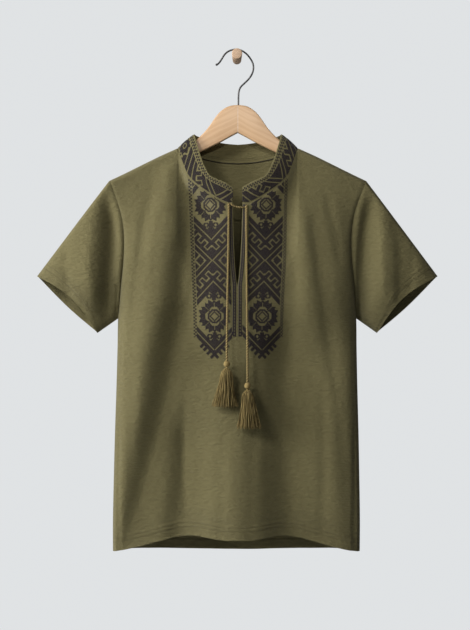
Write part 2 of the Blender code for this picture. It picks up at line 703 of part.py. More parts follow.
def wall_peg():
    """A peg that tapers towards the wall, with a bevelled front rim."""
    mesh = bmesh.new()
    bmesh.ops.create_cone(mesh, cap_ends=True, segments=PEG_SIDES, radius1=PEG_WALL_RADIUS,
                          radius2=PEG_FRONT_RADIUS, depth=PEG_LENGTH)
    for vert in mesh.verts:
        x, y, z = vert.co
        vert.co = (x, -z - PEG_LENGTH / 2, y)
    rim = [edge for edge in mesh.edges if all(v.co.y < -PEG_LENGTH / 2 for v in edge.verts)]
    bmesh.ops.bevel(mesh, geom=rim, offset=PEG_BEVEL, segments=2, profile=0.5, affect="EDGES")
    return mesh_object("wall_peg", mesh, "wood")


# ---- cords, beads and tassels ----
def front_y(x, z):
    """y of the front's outer skin at a place near the middle."""
    away = abs(x - sway(z))
    side = math.copysign(1, x - sway(z))
    return HANGER_Y - panel_depth("front", side, away, z) - SEAM_GAP / 2


def cord_x(hang, z):
    fall = (hang.top_z - z) / (hang.top_z - hang.bead_z)
    return mix(hang.top_x, hang.low_x, ease(fall))


def cord_y(hang, z):
    """The cord lies close on the front at the top and stands off it above the bead."""
    fall = (hang.top_z - z) / (hang.top_z - hang.bead_z)
    close = CORD / 2 + CORD_OFF_CLOTH
    return front_y(cord_x(hang, z), z) - mix(close, BEAD_OFF_CLOTH, ease(fall * 1.5 - 0.5))


def cord(hang):
    end_z = hang.bead_z + BEAD_RADIUS + CLEARANCE
    count = round((hang.top_z - end_z) / CORD_STEP) + 1
    heights = [mix(hang.top_z, end_z, n / (count - 1)) for n in range(count)]
    points = [Vector((cord_x(hang, z), cord_y(hang, z), z)) for z in heights]
    return tube("cord_" + hang.side, points, CORD, "cord")


def cord_bridge():
    """The short cord that joins the two across the slit, sagging a little."""
    left, right = HANGS
    inset = CORD / 2 + 3 * CLEARANCE
    start = Vector((left.top_x + inset, cord_y(left, -0.2605) + 0.0002, -0.2605))
    end = Vector((right.top_x - inset, cord_y(right, -0.2665) + 0.0002, -0.2665))
    middle = start.lerp(end, 0.5) - Vector((0, 0.0004, 0.0026))
    return tube("cord_bridge", smooth_path([start, middle, end], 6), BRIDGE_CORD, "cord")


def bead(hang):
    mesh = bmesh.new()
    bmesh.ops.create_uvsphere(mesh, u_segments=12, v_segments=8, radius=BEAD_RADIUS)
    place = Vector((cord_x(hang, hang.bead_z), cord_y(hang, hang.bead_z), hang.bead_z))
    bmesh.ops.translate(mesh, vec=place, verts=mesh.verts)
    return mesh_object("bead_" + hang.side, mesh, "cord")


def tassel(hang):
    """A tied head whose underside is drawn out, cell by cell, into separate strands."""
    mesh = bmesh.new()
    bmesh.ops.create_circle(mesh, cap_ends=True, cap_tris=True, segments=6, radius=1.0)
    bmesh.ops.subdivide_edges(mesh, edges=mesh.edges, cuts=2, use_grid_fill=True)
    for vert in mesh.verts:
        angle = math.atan2(vert.co.y, vert.co.x) % (math.pi / 3) - math.pi / 6
        vert.co *= TASSEL_HEAD_RADIUS * math.cos(angle) / math.cos(math.pi / 6)
    under = list(mesh.faces)
    made = bmesh.ops.extrude_face_region(mesh, geom=under, use_keep_orig=True)
    crown = [item for item in made["geom"] if isinstance(item, bmesh.types.BMVert)]
    narrow = TASSEL_HEAD_TOP / TASSEL_HEAD_RADIUS
    for vert in crown:
        vert.co = (vert.co.x * narrow, vert.co.y * narrow, TASSEL_HEAD_HEIGHT)
    lid = [item for item in made["geom"] if isinstance(item, bmesh.types.BMFace)]
    bmesh.ops.dissolve_faces(mesh, faces=lid)
    bmesh.ops.inset_individual(mesh, faces=under, thickness=STRAND_INSET)
    roots = [face.calc_center_median() for face in under]
    for n, (strand, root) in enumerate(zip(under, roots)):
        length = TASSEL_SKIRT * (1 - STRAND_UNEVEN + STRAND_UNEVEN * math.sin(2.4 * n * n + 1.3 * n))
        deep = TASSEL_BACK if root.y > 0 else TASSEL_FORWARD
        for down, spread in STRAND_STEPS:
            strand = bmesh.ops.extrude_discrete_faces(mesh, faces=[strand])["faces"][0]
            centre = strand.calc_center_median()
            place = Vector((root.x * mix(1, TASSEL_WIDE, spread) + hang.tassel_shift * down,
                            root.y * mix(1, deep, spread), -length * down))
            bmesh.ops.translate(mesh, vec=place - centre, verts=strand.verts)
    head_z = hang.bead_z - BEAD_RADIUS - CLEARANCE - TASSEL_HEAD_HEIGHT
    place = Vector((cord_x(hang, hang.bead_z), cord_y(hang, hang.bead_z), head_z))
    bmesh.ops.translate(mesh, vec=place, verts=mesh.verts)
    return mesh_object("tassel_" + hang.side, mesh, "cord")


clear_scene()
COLLECTION = bpy.data.collections.new("vyshyvanka_shirt")
bpy.context.scene.collection.children.link(COLLECTION)

panel("front")
panel("back")
sleeve("left", -1)
sleeve("right", 1)
collar()
hanger_half("left", -1)
hanger_half("right", 1)
hanger_hook()
wall_peg()
for hanging in HANGS:
    cord(hanging)
    bead(hanging)
    tassel(hanging)
cord_bridge()
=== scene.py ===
# %% [markdown]
# # A vyshyvanka shirt on its hanger
# A jersey shirt with a stand collar and two strips of cross stitch hangs from a wooden
# hanger on a wall peg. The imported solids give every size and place. This script dresses
# them: finer cloth with its small creases, sewing, embroidery, twisted cords and tassels.

# %% Load the frame
import json
import math
import random
from bisect import bisect_right
from collections import namedtuple

import bmesh
import bpy
import numpy as np
from mathutils import Matrix, Vector, noise

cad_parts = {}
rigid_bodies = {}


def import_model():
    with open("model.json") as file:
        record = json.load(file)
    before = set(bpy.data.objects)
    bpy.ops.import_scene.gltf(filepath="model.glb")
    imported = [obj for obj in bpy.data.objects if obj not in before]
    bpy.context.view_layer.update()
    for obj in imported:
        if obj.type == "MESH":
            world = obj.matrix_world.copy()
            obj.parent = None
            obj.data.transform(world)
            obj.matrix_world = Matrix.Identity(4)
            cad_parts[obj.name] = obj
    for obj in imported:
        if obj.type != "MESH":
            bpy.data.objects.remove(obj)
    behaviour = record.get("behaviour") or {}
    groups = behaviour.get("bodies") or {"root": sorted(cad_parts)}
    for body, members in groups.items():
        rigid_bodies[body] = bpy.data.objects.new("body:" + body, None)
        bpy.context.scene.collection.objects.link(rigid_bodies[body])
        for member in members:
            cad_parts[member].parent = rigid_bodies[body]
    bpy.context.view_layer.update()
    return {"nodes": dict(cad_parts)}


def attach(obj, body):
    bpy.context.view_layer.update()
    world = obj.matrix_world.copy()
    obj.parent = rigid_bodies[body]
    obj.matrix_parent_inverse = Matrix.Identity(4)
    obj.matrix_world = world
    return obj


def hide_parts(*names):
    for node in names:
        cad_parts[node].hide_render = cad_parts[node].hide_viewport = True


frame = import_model()
print("solids loaded:", len(frame["nodes"]))

# %% [markdown]
# ## Camera
# The camera looks straight at the shirt along the wall's normal, from two and a half
# metres. A long lens keeps the outline nearly free of perspective. The lens follows from
# the height that the picture takes in at the hanger.

# %% Camera
HANGER_Y = -0.046
VIEW_DISTANCE = 2.5
PICTURE_HEIGHT = 1.0943
PICTURE_CENTRE = (-0.0035, -0.4509)

camera = bpy.data.objects.new("camera", bpy.data.cameras.new("camera"))
camera.data.lens = camera.data.sensor_width * VIEW_DISTANCE / PICTURE_HEIGHT
camera.location = (PICTURE_CENTRE[0], HANGER_Y - VIEW_DISTANCE, PICTURE_CENTRE[1])
camera.rotation_euler = (math.pi / 2, 0, 0)
bpy.context.scene.collection.objects.link(camera)
bpy.context.scene.camera = camera
print("lens", round(camera.data.lens, 1), "mm")

# %% [markdown]
# ## Shader maths as Python
# A material is a graph of nodes. Written out by hand it is long and hard to read, so one
# small class carries a socket, and the usual signs add Math nodes between sockets. Every
# other node comes from its one method `node`.

# %% Shader maths as Python
class Flow:
    """A value that runs between nodes. Signs on it add Math nodes."""

    def __init__(self, tree, socket=None):
        self.tree, self.socket = tree, socket

    def node(self, kind, settings=None, sockets=None, output=0):
        """Add a node: its settings first, then the values or links of its sockets."""
        made = self.tree.nodes.new("ShaderNode" + kind)
        for name, value in (settings or {}).items():
            setattr(made, name, value)
        for name, value in (sockets or {}).items():
            self.feed(made.inputs[name], value)
        return Flow(self.tree, made.outputs[output])

    def feed(self, target, value):
        """Link a value to a socket, or write a plain number or colour into it."""
        if isinstance(value, Flow):
            self.tree.links.new(value.socket, target)
        else:
            target.default_value = value

    def maths(self, operation, *values):
        """A Math node on the values."""
        return self.node("Math", {"operation": operation}, dict(enumerate(values)))

    def __add__(self, other):
        return self.maths("ADD", self, other)

    def __sub__(self, other):
        return self.maths("SUBTRACT", self, other)

    def __rsub__(self, other):
        return self.maths("SUBTRACT", other, self)

    def __mul__(self, other):
        return self.maths("MULTIPLY", self, other)

    def __truediv__(self, other):
        return self.maths("DIVIDE", self, other)

    __radd__, __rmul__ = __add__, __mul__

    def sine(self):
        return self.maths("SINE", self)

    def clamped(self, low, high):
        """0 below low, 1 above high and a straight rise between."""
        return self.node("MapRange", None, {"Value": self, "From Min": low, "From Max": high})

    def blend(self, first, second):
        """The first colour where this is 0, the second where it is 1."""
        return self.node("Mix", {"data_type": "RGBA"}, {0: self, 6: first, 7: second}, 2)


print("values that run between nodes:", Flow.__name__)

# %% [markdown]
# ## Helpers for finishes
# Every finish starts from one shader and reads either the real place of a point or the
# piece's flat map. Noise gives the unevenness that all real surfaces have, and a bump turns
# a pattern into relief. Colours are written as they look on a screen.

# %% Helpers for finishes
def new_finish(name, roughness, **constants):
    """A material with its Principled shader, and a Flow that adds nodes to it."""
    material = bpy.data.materials.new(name)
    material.use_nodes = True
    shader = material.node_tree.nodes["Principled BSDF"]
    shader.inputs["Roughness"].default_value = roughness
    for socket, value in constants.items():
        shader.inputs[socket.replace("_", " ")].default_value = value
    return material, shader, Flow(material.node_tree)


def body_place(flow):
    """The place of a point in the real object, in metres."""
    return flow.node("TexCoord", None, None, 3)


def flat_place(flow):
    """The place of a point on the piece's flat map: whole, across and along."""
    flat = flow.node("UVMap", {"uv_map": "flat"})
    across, along = (flow.node("SeparateXYZ", None, {"Vector": flat}, n) for n in range(2))
    return flat, across, along


def speckle(flow, where, grains, detail):
    """Noise from 0 to 1, with so many grains a metre."""
    return flow.node("TexNoise", None, {"Vector": where, "Scale": grains, "Detail": detail})


def streaks(flow, where, grains, detail):
    """Drawn-out noise: grains gives the count a metre along each axis."""
    stretched = flow.node("Mapping", None, {"Vector": where, "Scale": grains})
    return speckle(flow, stretched, 1.0, detail)


def bump(flow, height, distance, **under):
    """Relief as deep as distance; Normal names the relief that it lies on."""
    return flow.node("Bump", None, {"Height": height, "Distance": distance, **under})


def rgb(red, green, blue):
    """A colour written as it looks on a screen, 0 to 255, made linear for the shader."""
    def linear(value):
        value /= 255
        return value / 12.92 if value < 0.04045 else ((value + 0.055) / 1.055) ** 2.4
    return (linear(red), linear(green), linear(blue), 1.0)


print("mid grey is", round(rgb(128, 128, 128)[0], 3), "to the shader")

# %% [markdown]
# ## Light and world
# A soft key lamp stands high on the left, in front of the shirt. A larger lamp far round on
# the left grazes the cloth, so that each fold has a lit side and a shaded side. A narrow
# spot brightens the collar and the hanger, and three more lamps, in front, above and
# behind, keep the shade open. The world is pale to the eye but adds little light, which a
# Light Path node arranges.

# %% Light and world
scene = bpy.context.scene
scene.view_settings.view_transform = "Standard"
Lamp = namedtuple("Lamp", "name place size power colour aim_z cone")
LAMPS = (
    Lamp("key", (-1.75, -2.0, 1.05), 0.7, 41, (1.0, 0.985, 0.95), -0.45, 0),
    Lamp("side", (-2.45, -0.78, 0.2), 1.5, 84, (1.0, 0.99, 0.96), -0.45, 0),
    Lamp("fill", (0.3, -3.0, 0.6), 1.4, 2, (0.95, 0.97, 1.0), -0.45, 0),
    Lamp("rim", (0.6, 2.2, 1.2), 1.6, 30, (1.0, 1.0, 1.0), -0.45, 0),
    Lamp("top", (0.35, -1.0, 1.55), 0.9, 3, (1.0, 0.99, 0.97), -0.45, 0),
    Lamp("snoot", (0.10, -2.45, 0.45), 0.06, 56, (1.0, 0.99, 0.96), -0.14, 9.5),
)
for lamp in LAMPS:
    data = bpy.data.lights.new(lamp.name, "SPOT" if lamp.cone else "AREA")
    data.energy, data.color = lamp.power, lamp.colour
    if lamp.cone:
        data.shadow_soft_size, data.spot_blend = lamp.size, 1.0
        data.spot_size = math.radians(lamp.cone)
    else:
        data.size = lamp.size
    light = bpy.data.objects.new(lamp.name, data)
    light.location = lamp.place
    away = Vector((0.0, HANGER_Y, lamp.aim_z)) - Vector(lamp.place)
    light.rotation_euler = away.to_track_quat("-Z", "Y").to_euler()
    scene.collection.objects.link(light)

PALE = (0.745, 0.765, 0.778, 1.0)
AMBIENT = 0.06
world = bpy.data.worlds.new("pale room")
world.use_nodes = True
scene.world = world
flow = Flow(world.node_tree)
seen = flow.node("Background", None, {"Color": PALE})
felt = flow.node("Background", None, {"Color": PALE, "Strength": AMBIENT})
to_camera = flow.node("LightPath")
either = flow.node("MixShader", None, {0: to_camera, 1: felt, 2: seen})
flow.feed(world.node_tree.nodes["World Output"].inputs["Surface"], either)
print("lamps:", len(LAMPS))

# %% [markdown]
# ## Cotton jersey
# Jersey is a fine knit: columns of V-shaped loops, a millimetre wide. The pattern runs on
# the piece's own flat map, in metres, so that it follows each sleeve and panel. Loops this
# small are bump, not mesh. A second, softer bump gives the shallow rumples of washed
# cotton, which lie across the cloth. Where the colour follows the rumples, the loops and the
# fine grain, it is painted shade: lighter on their crowns and darker in their hollows. Only
# the slow drift of the colour is the cloth's own uneven tone.

# %% Cotton jersey
WALE = 0.0010            # width of a column of loops
COURSE = 0.0008          # height of a row of loops
KNIT_RELIEF = 0.0002
RUMPLE_RELIEF = 0.0024
RUMPLES = (110, 110, 250)    # a metre, along x, y and z


def jersey(name, light, dark):
    """Knitted loops in relief, soft rumples, painted shade in their hollows and a colour that
    drifts a little.
    """
    material, shader, flow = new_finish(name, 0.93, Specular_IOR_Level=0.25,
                                        Sheen_Weight=0.12, Sheen_Roughness=0.5)
    flat, across, along = flat_place(flow)
    body = body_place(flow)
    slope = flow.maths("ABSOLUTE", flow.maths("FRACT", across / WALE) - 0.5)
    loop = ((along / COURSE + slope) * (2 * math.pi)).sine() * 0.5 + 0.5
    column = 1 - flow.maths("POWER", slope * 2, 4)
    drift = speckle(flow, body, 9, 4)
    grain = speckle(flow, flat, 900, 1)
    rumple = streaks(flow, body, RUMPLES, 4)
    # painted shade: the rumple, loop and grain terms darken the colour in the hollows of the
    # relief
    shade = (drift * 0.5 + rumple * 0.6 + grain * 0.4 + loop * 0.12 - 0.31).clamped(0.0, 1.0)
    flow.feed(shader.inputs["Base Color"], shade.blend(dark, light))
    soft = bump(flow, rumple, RUMPLE_RELIEF)
    knit = bump(flow, loop * column + grain * 0.9, KNIT_RELIEF, Normal=soft)
    flow.feed(shader.inputs["Normal"], knit)
    return material


# the dark colour is partly painted shade in the hollows and partly the cloth's own drift
CLOTH_FINISH = jersey("olive jersey", rgb(128, 121, 84), rgb(100, 93, 61))
print("jersey wale", WALE * 1000, "mm")

# %% [markdown]
# ## Outline of the shirt
# The shirt's shape comes from short tables: the width of the side seams and the depth of
# the body at each height, the hem, the shoulder, the neckline and the slit. A smooth curve
# runs through each table. These are the sizes that the solids were made from, so finer
# cloth lands on them.

# %% Sizes and tables of the body
HEM_Z = -0.860           # side seam at the hem
UNDERARM_Z = -0.457
SHOULDER_Z = -0.218      # outer end of the shoulder seam
SHOULDER_X = 0.223
NECK_X = 0.1045          # where the shoulder seam meets the collar
NECK_Z = -0.1613
SLIT_END_Z = -0.398      # bottom of the open neck slit
SLIT_CLOSED = 0.00075    # half width of the slit's last row

Side = namedtuple("Side", "z half_width")
SIDES = (
    Side(-0.860, 0.2143), Side(-0.808, 0.2145), Side(-0.732, 0.2132), Side(-0.655, 0.2115),
    Side(-0.579, 0.2093), Side(-0.507, 0.2076), Side(-0.457, 0.2068), Side(-0.436, 0.2045),
    Side(-0.400, 0.2010), Side(-0.361, 0.1970), Side(-0.324, 0.1957), Side(-0.288, 0.1990),
    Side(-0.256, 0.2080), Side(-0.218, 0.2230),
)
Depth = namedtuple("Depth", "z front back")
DEPTHS = (
    Depth(-0.860, 0.0500, 0.0330), Depth(-0.700, 0.0560, 0.0320), Depth(-0.560, 0.0550, 0.0310),
    Depth(-0.457, 0.0490, 0.0300), Depth(-0.360, 0.0420, 0.0285), Depth(-0.250, 0.0350, 0.0270),
)
Hem = namedtuple("Hem", "x front_z back_z")
HEMS = (
    Hem(0.0000, -0.8360, -0.8625), Hem(0.0160, -0.8365, -0.8625), Hem(0.0360, -0.8335, -0.8620),
    Hem(0.0545, -0.8305, -0.8615), Hem(0.0775, -0.8325, -0.8610), Hem(0.1015, -0.8385, -0.8605),
    Hem(0.1365, -0.8480, -0.8600), Hem(0.1720, -0.8550, -0.8600), Hem(0.2143, -0.8600, -0.8600),
)
Shoulder = namedtuple("Shoulder", "x z")
SHOULDERS = (
    Shoulder(NECK_X, NECK_Z), Shoulder(0.1345, -0.1748), Shoulder(0.1625, -0.1885),
    Shoulder(0.1950, -0.2046), Shoulder(SHOULDER_X, SHOULDER_Z),
)
Neck = namedtuple("Neck", "x z depth")
FRONT_NECK = (
    Neck(0.0082, -0.2575, 0.0330), Neck(0.0180, -0.2580, 0.0330), Neck(0.0330, -0.2512, 0.0325),
    Neck(0.0530, -0.2384, 0.0300), Neck(0.0740, -0.2230, 0.0260), Neck(0.0875, -0.2080, 0.0205),
    Neck(0.0925, -0.1965, 0.0168), Neck(0.0984, -0.1813, 0.0122), Neck(0.1022, -0.1690, 0.0088),
    Neck(NECK_X, NECK_Z, 0.0),
)
BACK_NECK = (
    Neck(0.0000, -0.1868, 0.0280), Neck(0.0295, -0.1850, 0.0270), Neck(0.0575, -0.1800, 0.0225),
    Neck(0.0800, -0.1740, 0.0168), Neck(0.0985, -0.1650, 0.0088), Neck(NECK_X, NECK_Z, 0.0),
)
Slit = namedtuple("Slit", "z half_gap")
SLITS = (
    Slit(SLIT_END_Z, SLIT_CLOSED), Slit(-0.388, 0.0022), Slit(-0.360, 0.0046),
    Slit(-0.320, 0.0066), Slit(-0.257, 0.0082),
)
print("tables for the body: width", 2 * SIDES[0].half_width, "at the hem")

# %% [markdown]
# ## Folds
# Cloth on a hanger falls in long soft folds from the shoulders, with small creases between
# them. Each row says where a fold starts, bends and ends, how wide its left and right sides
# are and how far it sinks in; a ridge is below zero. The second table holds the small
# creases, which the solids don't have. They differ in length, depth and spacing, as real
# ones do.

# %% Tables of folds
Fold = namedtuple("Fold", "top_x top_z mid_x mid_z low_x low_z left_width depth right_width",
                  defaults=(None,))
MAIN_FOLDS = {
    "front": (
        Fold(-0.060, -0.140, -0.082, -0.350, -0.106, -0.540, 0.028, 0.0210, 0.040),
        Fold(-0.090, -0.410, -0.122, -0.610, -0.222, -0.970, 0.036, 0.0295, 0.150),
        Fold(-0.089, -0.590, -0.090, -0.720, -0.108, -0.960, 0.022, 0.0120, 0.070),
        Fold(-0.114, -0.170, -0.120, -0.215, -0.130, -0.290, 0.016, -0.0030),
        Fold(-0.030, -0.460, -0.026, -0.680, -0.024, -0.960, 0.036, -0.0040, 0.050),
        Fold(0.080, -0.200, 0.088, -0.380, 0.086, -0.580, 0.032, 0.0085, 0.022),
        Fold(0.101, -0.420, 0.088, -0.640, 0.102, -0.960, 0.048, 0.0310, 0.115),
        Fold(0.120, -0.215, 0.150, -0.440, 0.188, -0.680, 0.011, 0.0038, 0.022),
        Fold(0.176, -0.600, 0.190, -0.720, 0.198, -0.880, 0.014, 0.0040),
    ),
    "back": (
        Fold(-0.120, -0.240, -0.104, -0.520, -0.092, -0.900, 0.024, 0.0105, 0.050),
        Fold(-0.160, -0.420, -0.166, -0.600, -0.160, -0.900, 0.018, 0.0060, 0.030),
        Fold(0.112, -0.230, 0.118, -0.500, 0.140, -0.900, 0.048, 0.0110, 0.022),
        Fold(0.052, -0.420, 0.044, -0.650, 0.036, -0.900, 0.030, 0.0070, 0.020),
        Fold(-0.030, -0.300, -0.034, -0.600, -0.040, -0.900, 0.026, -0.0050, 0.040),
    ),
}
SMALL_CREASES = {
    "front": (
        Fold(-0.158, -0.225, -0.181, -0.470, -0.194, -0.680, 0.008, 0.0026, 0.014),
        Fold(-0.075, -0.225, -0.081, -0.330, -0.088, -0.440, 0.009, -0.0034, 0.016),
        Fold(-0.176, -0.520, -0.180, -0.640, -0.186, -0.760, 0.009, 0.0016),
        Fold(-0.088, -0.560, -0.092, -0.690, -0.086, -0.840, 0.008, 0.0018),
        Fold(-0.144, -0.220, -0.158, -0.290, -0.170, -0.370, 0.009, 0.0016),
        Fold(-0.022, -0.620, -0.026, -0.720, -0.024, -0.880, 0.011, 0.0016),
        Fold(0.030, -0.560, 0.026, -0.700, 0.024, -0.880, 0.012, 0.0014),
        Fold(0.098, -0.640, 0.094, -0.740, 0.096, -0.880, 0.012, 0.0012),
        Fold(0.146, -0.540, 0.150, -0.680, 0.146, -0.860, 0.010, 0.0018),
        Fold(0.150, -0.225, 0.166, -0.300, 0.180, -0.380, 0.008, 0.0016),
        Fold(0.086, -0.300, 0.096, -0.360, 0.104, -0.450, 0.008, 0.0012),
        Fold(-0.2028, -0.600, -0.2030, -0.760, -0.2020, -0.920, 0.0035, 0.0040),
        Fold(0.2030, -0.600, 0.2030, -0.740, 0.2020, -0.920, 0.0040, 0.0070),
    ),
    "back": (
        Fold(-0.070, -0.560, -0.066, -0.700, -0.058, -0.880, 0.011, 0.0020),
        Fold(0.008, -0.480, 0.004, -0.640, 0.006, -0.880, 0.012, 0.0016),
        Fold(0.084, -0.520, 0.082, -0.700, 0.088, -0.880, 0.010, 0.0018),
        Fold(0.166, -0.380, 0.172, -0.540, 0.170, -0.760, 0.011, 0.0020),
        Fold(-0.140, -0.240, -0.158, -0.320, -0.176, -0.420, 0.010, 0.0018),
        Fold(0.070, -0.200, 0.040, -0.250, 0.000, -0.290, 0.012, -0.0012),
    ),
}
SLEEVE_FOLDS = {
    "left": {
        "front": (
            Fold(-0.217, -0.196, -0.219, -0.338, -0.228, -0.490, 0.014, 0.0155, 0.012),
            Fold(-0.2045, -0.385, -0.2050, -0.430, -0.2080, -0.475, 0.005, 0.0050),
            Fold(-0.252, -0.235, -0.256, -0.340, -0.254, -0.470, 0.028, -0.0045, 0.014),
            Fold(-0.300, -0.300, -0.296, -0.360, -0.286, -0.440, 0.008, 0.0018),
        ),
        "back": (
            Fold(-0.236, -0.220, -0.240, -0.340, -0.238, -0.470, 0.014, 0.0050),
            Fold(-0.290, -0.290, -0.284, -0.370, -0.272, -0.470, 0.016, 0.0040),
            Fold(-0.260, -0.260, -0.262, -0.340, -0.256, -0.440, 0.007, 0.0014),
        ),
    },
    "right": {
        "front": (
            Fold(0.229, -0.200, 0.219, -0.338, 0.212, -0.480, 0.012, 0.0125, 0.022),
            Fold(0.262, -0.240, 0.282, -0.330, 0.280, -0.450, 0.012, 0.0050, 0.024),
            Fold(0.244, -0.250, 0.250, -0.330, 0.250, -0.430, 0.008, -0.0018),
            Fold(0.304, -0.310, 0.302, -0.360, 0.294, -0.430, 0.007, 0.0014),
        ),
        "back": (
            Fold(0.238, -0.220, 0.242, -0.340, 0.240, -0.470, 0.014, 0.0055),
            Fold(0.292, -0.300, 0.288, -0.370, 0.276, -0.470, 0.016, 0.0035),
            Fold(0.264, -0.260, 0.266, -0.340, 0.262, -0.430, 0.007, 0.0014),
        ),
    },
}
BODY_FOLDS = {face: MAIN_FOLDS[face] + SMALL_CREASES[face] for face in MAIN_FOLDS}
print("folds on the body:", sum(len(folds) for folds in BODY_FOLDS.values()))

# %% [markdown]
# ## From tables to curves
# A tailor draws a smooth line through a few measured points, and so does the first helper:
# it bends a curve through the rows of a table. Two more blend between values.

# %% Curves
def smooth_curve(keys, values):
    """A smooth function through the values at the rising keys, held level beyond them."""
    last = len(keys) - 1
    slopes = []
    for i in range(last + 1):
        before, after = max(i - 1, 0), min(i + 1, last)
        slopes.append((values[after] - values[before]) / (keys[after] - keys[before]))

    def value(key):
        key = min(max(key, keys[0]), keys[last])
        i = min(bisect_right(keys, key), last) - 1
        span = keys[i + 1] - keys[i]
        t = (key - keys[i]) / span
        rise = (3 - 2 * t) * t * t
        lead = t * (1 - t) * ((1 - t) * slopes[i] - t * slopes[i + 1]) * span
        return values[i] + (values[i + 1] - values[i]) * rise + lead

    return value


def table_curve(table, key, value):
    """A smooth function from one column of a table to another."""
    keys = [getattr(row, key) for row in table]
    return smooth_curve(keys, [getattr(row, value) for row in table])


def ease(t):
    """0 below 0, 1 above 1 and a soft rise between."""
    t = min(max(t, 0.0), 1.0)
    return t * t * (3 - 2 * t)


def mix(a, b, t):
    """a where t is 0, b where it is 1."""
    return a + (b - a) * t


print("curve helpers ready")

# %% [markdown]
# ## Depth of the body
# The body is a flattened tube. Its depth at a place is its rounded section, less the folds,
# and it closes down over the hanger at the shoulders. A fold is a soft trough across and
# fades out at its ends. One function of x and z gives the depth, so the same skin serves
# the panels, the stitches and the cords that lie on it.

# %% Depth of the body
SWAY = 0.0012            # the shirt hangs this far right at the shoulders and left at the hem
SIDE_PROFILE = 5.0       # how square the front-to-back section is at the sides
SIDE_FALL = 0.5
ARMHOLE_DEPTH = 0.018    # half the depth of the armhole at its middle
SHOULDER_ROUND = 0.0085  # the cloth rounds over the hanger's arm with this radius
FOLD_START = 0.03        # folds fade in over this length below the upper edge
SHOULDER_EASE = 0.17     # length over which the body fills out below the shoulder
FACES = ("front", "back")
FACING = {"front": -1, "back": 1}
NECKS = {"front": FRONT_NECK, "back": BACK_NECK}
side_width = table_curve(SIDES, "z", "half_width")
shoulder_line = table_curve(SHOULDERS, "x", "z")
slit_gap = table_curve(SLITS, "z", "half_gap")
neck_line = {face: table_curve(NECKS[face], "x", "z") for face in FACES}
neck_depth = {face: table_curve(NECKS[face], "x", "depth") for face in FACES}
body_depth = {face: table_curve(DEPTHS, "z", face) for face in FACES}
hem_line = {face: table_curve(HEMS, "x", face + "_z") for face in FACES}


def sway(z):
    """How far the shirt's middle line is off centre at a height."""
    return SWAY * (1 - 2 * (SHOULDER_Z - z) / (SHOULDER_Z - HEM_Z))


def armhole_share(z):
    """0 at the shoulder's end, 1 at the underarm."""
    return min(max((SHOULDER_Z - z) / (SHOULDER_Z - UNDERARM_Z), 0.0), 1.0)


def top_line(face, x):
    """z of a panel's upper edge: the neckline, then the shoulder."""
    return neck_line[face](x) if x < NECK_X else shoulder_line(x)


def fold_sink(folds, x, z):
    """How far the folds draw the cloth in; each fades over its first and last quarter."""
    sink = 0.0
    for fold, line in folds:
        if fold.low_z < z < fold.top_z:
            away = x - line(z)
            width = fold.left_width if away < 0 else fold.right_width or fold.left_width
            length = fold.top_z - fold.low_z
            fade = min((fold.top_z - z) / length, (z - fold.low_z) / length) * 4
            sink += fold.depth * math.exp(-(away / width) ** 2) * ease(fade)
    return sink


def with_lines(folds):
    """Each fold beside the curve that it follows."""
    return [(f, smooth_curve((f.low_z, f.mid_z, f.top_z), (f.low_x, f.mid_x, f.top_x)))
            for f in folds]


FOLD_LINES = {face: with_lines(BODY_FOLDS[face]) for face in FACES}
MAIN_LINES = {face: with_lines(MAIN_FOLDS[face]) for face in FACES}


def panel_depth(face, side, x, z, lines=FOLD_LINES):
    """Distance of the outer skin from the hanger's plane; x is measured from the middle."""
    share = min(x / side_width(z), 1.0)
    fullness = (1 - share ** SIDE_PROFILE) ** SIDE_FALL
    t = armhole_share(z)
    bow = 4 * t * (1 - t)
    seam = ARMHOLE_DEPTH * (math.sqrt(bow) if t < 0.5 else bow) * share ** 4
    full = mix(seam, body_depth[face](z), fullness)
    below = max(top_line(face, x) - z, 0.0)
    dip = max(SHOULDER_ROUND - below, 0.0)
    over_arm = math.sqrt(SHOULDER_ROUND ** 2 - dip ** 2)
    edge = neck_depth[face](x) if x < NECK_X else 0.0
    upper = edge + over_arm * max(1 - edge / SHOULDER_ROUND, 0.0)
    depth = mix(upper, full, ease(below / SHOULDER_EASE))
    calm = (1 - share ** 8) * ease(below / FOLD_START)
    return depth - fold_sink(lines[face], side * x, z) * calm


print("depth at the chest", round(panel_depth("front", 1, 0.05, -0.45) * 1000, 1), "mm")

# %% [markdown]
# ## A grid that goes where it is told
# Cloth, cords and boards are all bands of quads. A grid operator makes the quads, and a
# function of two shares, across and along, moves each corner into place. The two shares, or
# real lengths in place of them, are kept as the flat map that the materials read.

# %% Grid helper and piece helper
def placed_grid(columns, rows, place, size=(1.0, 1.0), wraps=False, mesh=None):
    """A grid whose corners go to place(u, v); its flat map is u and v times the size.
    Where it wraps, its first and last columns meet and are merged."""
    mesh = mesh or bmesh.new()
    flat = mesh.loops.layers.uv.get("flat") or mesh.loops.layers.uv.new("flat")
    made = bmesh.ops.create_grid(mesh, x_segments=columns, y_segments=rows, size=0.5,
                                 calc_uvs=True)
    faces = {face for vert in made["verts"] for face in vert.link_faces}
    for face in faces:
        for loop in face.loops:
            u, v = loop.vert.co.x + 0.5, loop.vert.co.y + 0.5
            loop[flat].uv = (u * size[0], v * size[1])
    for vert in made["verts"]:
        vert.co = place(vert.co.x + 0.5, vert.co.y + 0.5)
    if wraps:
        bmesh.ops.remove_doubles(mesh, verts=made["verts"], dist=1e-6)
    return mesh


def close_ends(mesh):
    """Fill the open ends, keep their rims crisp and turn all faces outwards."""
    rims = [e for e in mesh.edges if e.is_boundary]
    bmesh.ops.holes_fill(mesh, edges=rims)
    for rim_edge in rims:
        rim_edge.smooth = False
    bmesh.ops.recalc_face_normals(mesh, faces=mesh.faces)
    if mesh.calc_volume(signed=True) < 0:
        bmesh.ops.reverse_faces(mesh, faces=mesh.faces)
    return mesh


